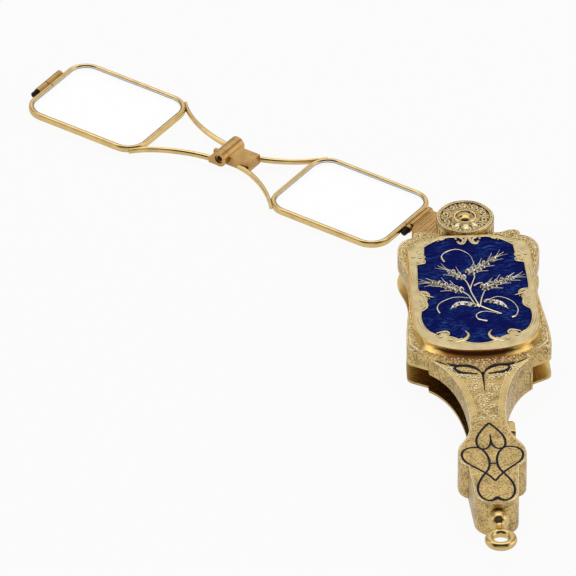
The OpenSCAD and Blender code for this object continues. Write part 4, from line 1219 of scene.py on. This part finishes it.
# Stem
ARCH_LINES = (
    ((0.0, -52.6), (1.2, -50.5), (2.8, -49.6), (5.2, -49.4), (7.4, -48.7), (9.2, -47.5)),
    ((4.3, -49.5), (5.3, -50.0), (5.4, -51.2), (4.2, -51.9), (2.4, -52.1), (1.2, -52.6)),
)
NECK_FLOWERS = ((1.6, -53.9), (-1.6, -54.0), (3.2, -53.1), (-3.0, -53.3), (4.7, -52.7),
                (-4.6, -52.9), (1.2, -56.4), (-1.3, -56.0), (-2.2, -57.6), (2.2, -57.4),
                (0.9, -59.6), (-0.9, -59.9), (0.1, -61.5), (-0.9, -63.3), (1.0, -63.5),
                (-0.2, -65.6), (1.1, -67.2), (-1.2, -67.6), (6.3, -50.4), (-6.5, -50.5))
# Where the cover's edge lines start, and the lowest and highest y of the bands on the neck
EDGE_START_Y = -47.6
NECK_LOW, NECK_HIGH = -68.5, -48.6
# Points this near the middle belong to neither side
MIDDLE_GAP = 0.02
# Each line beside an edge: its distance from it and its radius
STEM_EDGE_LINES = ((0.14, 0.08), (0.42, 0.045))


class LORGNETTE_OT_stem(bpy.types.Operator):
    """Lays the dark lines into the stem and chases its border and its flowers"""
    bl_idname = "lorgnette.stem"
    bl_label = "Ornament the stem"

    def execute(self, context):
        width = context.scene.lorgnette_relief.line / MM
        lines = Stock()
        low, high = CASE_TOP - 0.2, CASE_TOP + 0.03
        inlay(lines, smooth_line([(0, -51.9), (0, -53.6), (0, -58.9)], 8),
              lambda t: 0.1 + 1.3 * width * math.exp(-((t - 0.12) / 0.3) ** 2), low, high)
        inlay(lines, smooth_line([(-1.9, -95.4), (-0.8, -95.2), (0, -94.4), (0.8, -95.2),
                                  (1.9, -95.4)], 6),
              lambda t: 0.3 + 0.9 * width * math.sin(math.pi * t), low, high)
        for side in (-1, 1):
            for line in ARCH_LINES:
                inlay(lines, mirrored_line(side, line, 8),
                      lambda t: width * (0.3 + 1.4 * math.sin(math.pi * t) ** 1.3), low, high)
        lines.piece("stem_lines", "case", "dark_enamel", "line_enamel")
        self.make_relief()
        return {"FINISHED"}

    def make_relief(self):
        """The smooth band along the edge, the lines beside it and the flowers."""
        relief, bands = Stock(), Stock()
        top = CASE_TOP
        stem = loops_at("stem_cover", CASE_TOP)[0]
        for side in (-1, 1):
            run = run_of(stem, lambda p: side * p.x > MIDDLE_GAP and p.y < EDGE_START_Y)
            for distance, radius in STEM_EDGE_LINES:
                wire(relief, inset(run, distance, closed=False), top, radius, sides=6, flat=0.7)
            neck = run_of(stem,
                          lambda p: side * p.x > MIDDLE_GAP and NECK_LOW < p.y < NECK_HIGH)
            inlay(bands, inset(neck, 0.95, closed=False),
                  lambda t: 0.75 + 0.2 * math.sin(math.pi * t), top - 0.05, top + 0.02)
            wire(relief, inset(neck, 1.5, closed=False), top, 0.07, sides=6, flat=0.7)
        for x, y in NECK_FLOWERS:
            flower(relief, x, y, top - 0.02, 0.8, turn=37 * x)
        relief.piece("stem_relief", "case", "yellow_gold", "flower_gold")
        bands.piece("stem_bands", "case", "yellow_gold", "band_gold")


# Head, with the lines of its right half
HEAD_CURLS = (((10.2, -6.6), (11.6, -6.9), (12.9, -8.2), (13.3, -10.2), (12.9, -12.4)),
              ((13.3, -37.0), (13.6, -39.6), (13.4, -41.8), (12.2, -43.6), (10.6, -44.6)))
HEAD_FLOWERS = ((12.9, -42.6), (11.6, -44.2), (13.2, -40.4))
# How far below the top the two threads run along the shoulders' walls
WALL_THREADS = (0.35, 2.4)
# Where the lines of the head's edge and the threads on its shoulders lie
HEAD_EDGE_LINES = ((0.18, 0.09), (0.5, 0.05))
HEAD_EDGE_X, HEAD_EDGE_Y = 6.4, -45.7
SHOULDER_X, SHOULDER_Y = 10.4, -43.1


class LORGNETTE_OT_head(bpy.types.Operator):
    """Chases the border lines, the curled ears and the shoulders of the front cover"""
    bl_idname = "lorgnette.head"
    bl_label = "Ornament the head"

    def execute(self, context):
        stock = Stock()
        top = CASE_TOP
        head = loops_at("front_cover", CASE_TOP)[0]
        for side in (-1, 1):
            run = run_of(head, lambda p: side * p.x > HEAD_EDGE_X and p.y > HEAD_EDGE_Y)
            for distance, radius in HEAD_EDGE_LINES:
                wire(stock, inset(run, distance, closed=False), top, radius, sides=6, flat=0.7)
            for k, spot in enumerate(evenly(inset(run, 1.05, closed=False), 1.9)):
                hand = side if k % 2 else -side
                scroll(stock, *spot, top, 0.62, 90 * side + 40 * k, hand, 0.09)
            foot = run_of(head, lambda p: side * p.x > SHOULDER_X and p.y < SHOULDER_Y)
            for depth in WALL_THREADS:
                wire(stock, inset(foot, 0.03, closed=False), top - depth, 0.08, sides=6)
            for curl in HEAD_CURLS:
                wire(stock, mirrored_line(side, curl, 6), top,
                     lambda t: 0.05 + 0.08 * math.sin(math.pi * t), sides=6)
            for x, y in HEAD_FLOWERS:
                flower(stock, side * x, y, top - 0.01, 0.42)
        stock.piece("head_relief", "case", "yellow_gold", "flower_gold")
        return {"FINISHED"}


# Drum; how far its cap is recessed, and how many scrolls and edge beads it has
CAP_RECESS = 0.25
CAP_SCROLLS, CAP_BEADS = 10, 60


class LORGNETTE_OT_drum(bpy.types.Operator):
    """Chases the rosette and the beaded border of the drum cap"""
    bl_idname = "lorgnette.drum"
    bl_label = "Ornament the drum"

    def execute(self, context):
        stock = Stock()
        floor = DRUM_TOP - CAP_RECESS
        outer = DRUM_RADIUS
        for radius, z, thick in ((outer - 0.28, DRUM_TOP, 0.08),
                                 (outer - 0.78, DRUM_TOP - 0.01, 0.06),
                                 (DOME_RADIUS + 0.12, DRUM_TOP, 0.16)):
            circle = [polar(radius, 2 * math.pi * k / 96) for k in range(96)]
            wire(stock, circle, z, thick, sides=6, closed=True)
        for k in range(CAP_SCROLLS):
            angle = 360 / CAP_SCROLLS * k + 20
            a = math.radians(angle)
            for radius, size, hand in ((outer - 1.75, 0.85, 1), (outer - 2.85, 0.6, -1)):
                scroll(stock, *polar(radius, a + 0.3 * (hand < 0)), floor + 0.1, size,
                       angle + 60 * hand, hand, 0.13)
            for radius, turn in ((outer - 1.25, 0.31), (outer - 2.2, 0.36)):
                bead(stock, *polar(radius, a + turn), floor, 0.8, 0.42, 0.26, angle + 50,
                     sides=8, levels=3)
        for k in range(CAP_BEADS):
            a = 2 * math.pi * k / CAP_BEADS
            bead(stock, *polar(outer - 0.53, a), DRUM_TOP - 0.02, 0.26, 0.2, 0.07,
                 math.degrees(a), sides=6, levels=2)
        self.make_tongue(stock)
        # Painted shade: two dark steel plugs on the dome stand for the shade inside its spanner
        # holes
        hole_shade = Stock()
        for turn in (35, 215):
            middle = polar(0.98, math.radians(turn))
            hole_shade.loft([[(*(middle + polar(0.27, math.pi * k / 8)), DRUM_TOP + rise)
                         for k in range(16)]
                        for rise in (0.1, 0.38)])
        hole_shade.piece("dome_holes", "case", "dark_steel", "dark_steel")
        stock.piece("drum_rosette", "case", "yellow_gold", "flower_gold")
        return {"FINISHED"}

    def make_tongue(self, stock):
        """The lobed leaf that points from the dome towards the stem."""
        for angle, length, width in ((-90, 2.5, 1.5), (-122, 2.2, 1.1), (-58, 2.2, 1.1)):
            middle = polar(DOME_RADIUS + 0.5 * length + 0.1, math.radians(angle))
            bead(stock, *middle, DRUM_TOP - 0.2, length, width, 0.3, angle, sides=12)


# Stage
SENSOR_WIDTH, FARTHEST_SEEN = 36, 1000


def stage_directions(settings):
    """The camera's right, up and backward directions."""
    turn, lift = settings.azimuth, settings.elevation
    right = Vector((math.cos(turn), math.sin(turn), 0))
    back = Vector((math.sin(turn) * math.cos(lift), -math.cos(turn) * math.cos(lift),
                   math.sin(lift)))
    right = Matrix.Rotation(settings.roll, 3, back) @ right
    return right, back.cross(right), back


def soft_light(name, direction, width, height, power):
    """A rectangular lamp that shines on the middle of the lorgnette."""
    lamp = bpy.data.lights.new(name, "AREA")
    lamp.shape = "RECTANGLE"
    lamp.size = width
    lamp.size_y = height
    lamp.energy = power
    holder = bpy.data.objects.new(name, lamp)
    bpy.context.scene.collection.objects.link(holder)
    away = Vector(direction).normalized()
    holder.location = Vector(LIT_POINT) + away * SOFTBOX_DISTANCE
    holder.rotation_euler = away.to_track_quat("Z", "Y").to_euler()


# The softboxes: name, direction, width and height in metres, and the setting of their power
SOFTBOXES = (("softbox_back", (0.0, 0.8, 0.62), 1.0, 0.6, "softbox_power"),
             ("softbox_left", (-1.0, 0.1, 0.75), 0.5, 0.7, "side_power"),
             ("softbox_right", (1.0, -0.1, 0.75), 0.5, 0.7, "side_power"))
SOFTBOX_DISTANCE = 0.9
LIT_POINT = (-0.02, -0.03, 0)
# The room's directions run from -1 to 1. The overhead panel starts and is full along Z and Y
ROOM_DIM = 0.05
ROOM_COLOUR = (1.0, 0.985, 0.96, 1)
OVERHEAD_Z, OVERHEAD_Y, OVERHEAD_STRENGTH = (0.72, 0.86), (-0.05, 0.25), 1.6
# Each other pale panel: its axis, where it starts, where it is full, and its strength
ROOM_PANELS = (("Y", 0.15, 0.55, 0.45), ("Y", -0.68, -0.84, 0.5),
               ("X", 0.62, 0.86, 1.0), ("X", -0.7, -0.9, 0.7))
FLOOR_REACH = 4.0
FLOOR_DROP = 0.00005
# How much of the floor's own white the camera sees, and the gold mirrors
FLOOR_SEEN, FLOOR_MIRRORED = 0.93, 0.6


class LORGNETTE_OT_stage(bpy.types.Operator):
    """Sets the floor, the lights, the surroundings and the camera"""
    bl_idname = "lorgnette.stage"
    bl_label = "Set the stage"

    def execute(self, context):
        settings = context.scene.lorgnette_stage
        right, up, back = stage_directions(settings)
        target = Vector((0, 0, DRUM_TOP * MM)) + right * settings.look_right + up * settings.look_up
        view = bpy.data.cameras.new("camera")
        view.lens = settings.lens
        view.sensor_width = SENSOR_WIDTH
        view.clip_end = FARTHEST_SEEN
        camera = bpy.data.objects.new("camera", view)
        context.scene.collection.objects.link(camera)
        turned = Matrix((right, up, back)).transposed().to_4x4()
        camera.matrix_world = Matrix.Translation(target + back * settings.distance) @ turned
        context.scene.camera = camera
        context.scene.view_settings.view_transform = "Standard"
        self.make_floor(context, settings)
        self.make_surroundings(context)
        for name, direction, width, height, power in SOFTBOXES:
            soft_light(name, direction, width, height, getattr(settings, power))
        return {"FINISHED"}

    def make_floor(self, context, settings):
        """A pale floor that the camera sees nearly white."""
        mesh = bpy.data.meshes.new("floor")
        corners = [(FLOOR_REACH * x, FLOOR_REACH * y, 0)
                   for x, y in ((-1, -1), (1, -1), (1, 1), (-1, 1))]
        mesh.from_pydata(corners, [], [(0, 1, 2, 3)])
        floor = bpy.data.objects.new("floor", mesh)
        floor.location.z = -FLOOR_DROP
        context.scene.collection.objects.link(floor)
        material, tree, shader, place = new_material("floor_paper")
        feed(tree, shader, Base_Color=(*settings.floor_colour, 1), Roughness=0.8)
        glow = add_node(tree, "ShaderNodeEmission", Strength=1.0)
        path = tree.nodes.new("ShaderNodeLightPath")
        seen = compute(tree, "MULTIPLY", seen_directly(tree), FLOOR_SEEN)
        mirrored = compute(tree, "MULTIPLY", path.outputs["Is Glossy Ray"], FLOOR_MIRRORED)
        mix_surface(tree, compute(tree, "MAXIMUM", seen, mirrored), shader, glow)
        mesh.materials.append(material)

    def make_surroundings(self, context):
        """A dim room with pale panels overhead, behind and at the sides."""
        world = bpy.data.worlds.new("studio")
        world.use_nodes = True
        context.scene.world = world
        tree = world.node_tree
        direction = tree.nodes.new("ShaderNodeTexCoord").outputs["Generated"]
        split = add_node(tree, "ShaderNodeSeparateXYZ", Vector=direction).outputs
        overhead = compute(tree, "MULTIPLY", spread(tree, split["Z"], *OVERHEAD_Z),
                           spread(tree, split["Y"], *OVERHEAD_Y))
        light = spread(tree, overhead, 0.0, 1.0, ROOM_DIM, OVERHEAD_STRENGTH)
        for axis, edge, full, strength in ROOM_PANELS:
            panel = spread(tree, split[axis], edge, full, ROOM_DIM, strength)
            light = compute(tree, "MAXIMUM", light, panel)
        feed(tree, tree.nodes["Background"], Color=ROOM_COLOUR,
             Strength=compute(tree, "MAXIMUM", light, seen_directly(tree)))


class LORGNETTE_PT_panel(bpy.types.Panel):
    bl_idname = "LORGNETTE_PT_panel"
    bl_label = "Folding lorgnette"
    bl_space_type = "VIEW_3D"
    bl_region_type = "UI"
    bl_category = "Lorgnette"

    def draw(self, context):
        for operator in OPERATORS:
            self.layout.operator(operator.bl_idname)
        for group in SETTINGS:
            box = self.layout.box()
            for name in SETTINGS[group].__annotations__:
                box.prop(getattr(context.scene, group), name)


SETTINGS = {
    "lorgnette_stage": StageSettings,
    "lorgnette_gold": GoldSettings,
    "lorgnette_enamel": EnamelSettings,
    "lorgnette_relief": ReliefSettings,
    "lorgnette_spray": SpraySettings,
}
OPERATORS = (
    LORGNETTE_OT_stage,
    LORGNETTE_OT_materials,
    LORGNETTE_OT_case,
    LORGNETTE_OT_lenses,
    LORGNETTE_OT_plaque,
    LORGNETTE_OT_spray,
    LORGNETTE_OT_stem,
    LORGNETTE_OT_head,
    LORGNETTE_OT_drum,
)


def register():
    for name, group in SETTINGS.items():
        bpy.utils.register_class(group)
        setattr(bpy.types.Scene, name, PointerProperty(type=group))
    for item in (*OPERATORS, LORGNETTE_PT_panel):
        bpy.utils.register_class(item)


def unregister():
    for item in (*OPERATORS, LORGNETTE_PT_panel):
        bpy.utils.unregister_class(item)
    for name, group in SETTINGS.items():
        delattr(bpy.types.Scene, name)
        bpy.utils.unregister_class(group)


def main():
    register()
    for operator in OPERATORS:
        area, action = operator.bl_idname.split(".")
        getattr(getattr(bpy.ops, area), action)()


if __name__ == "__main__":
    main()
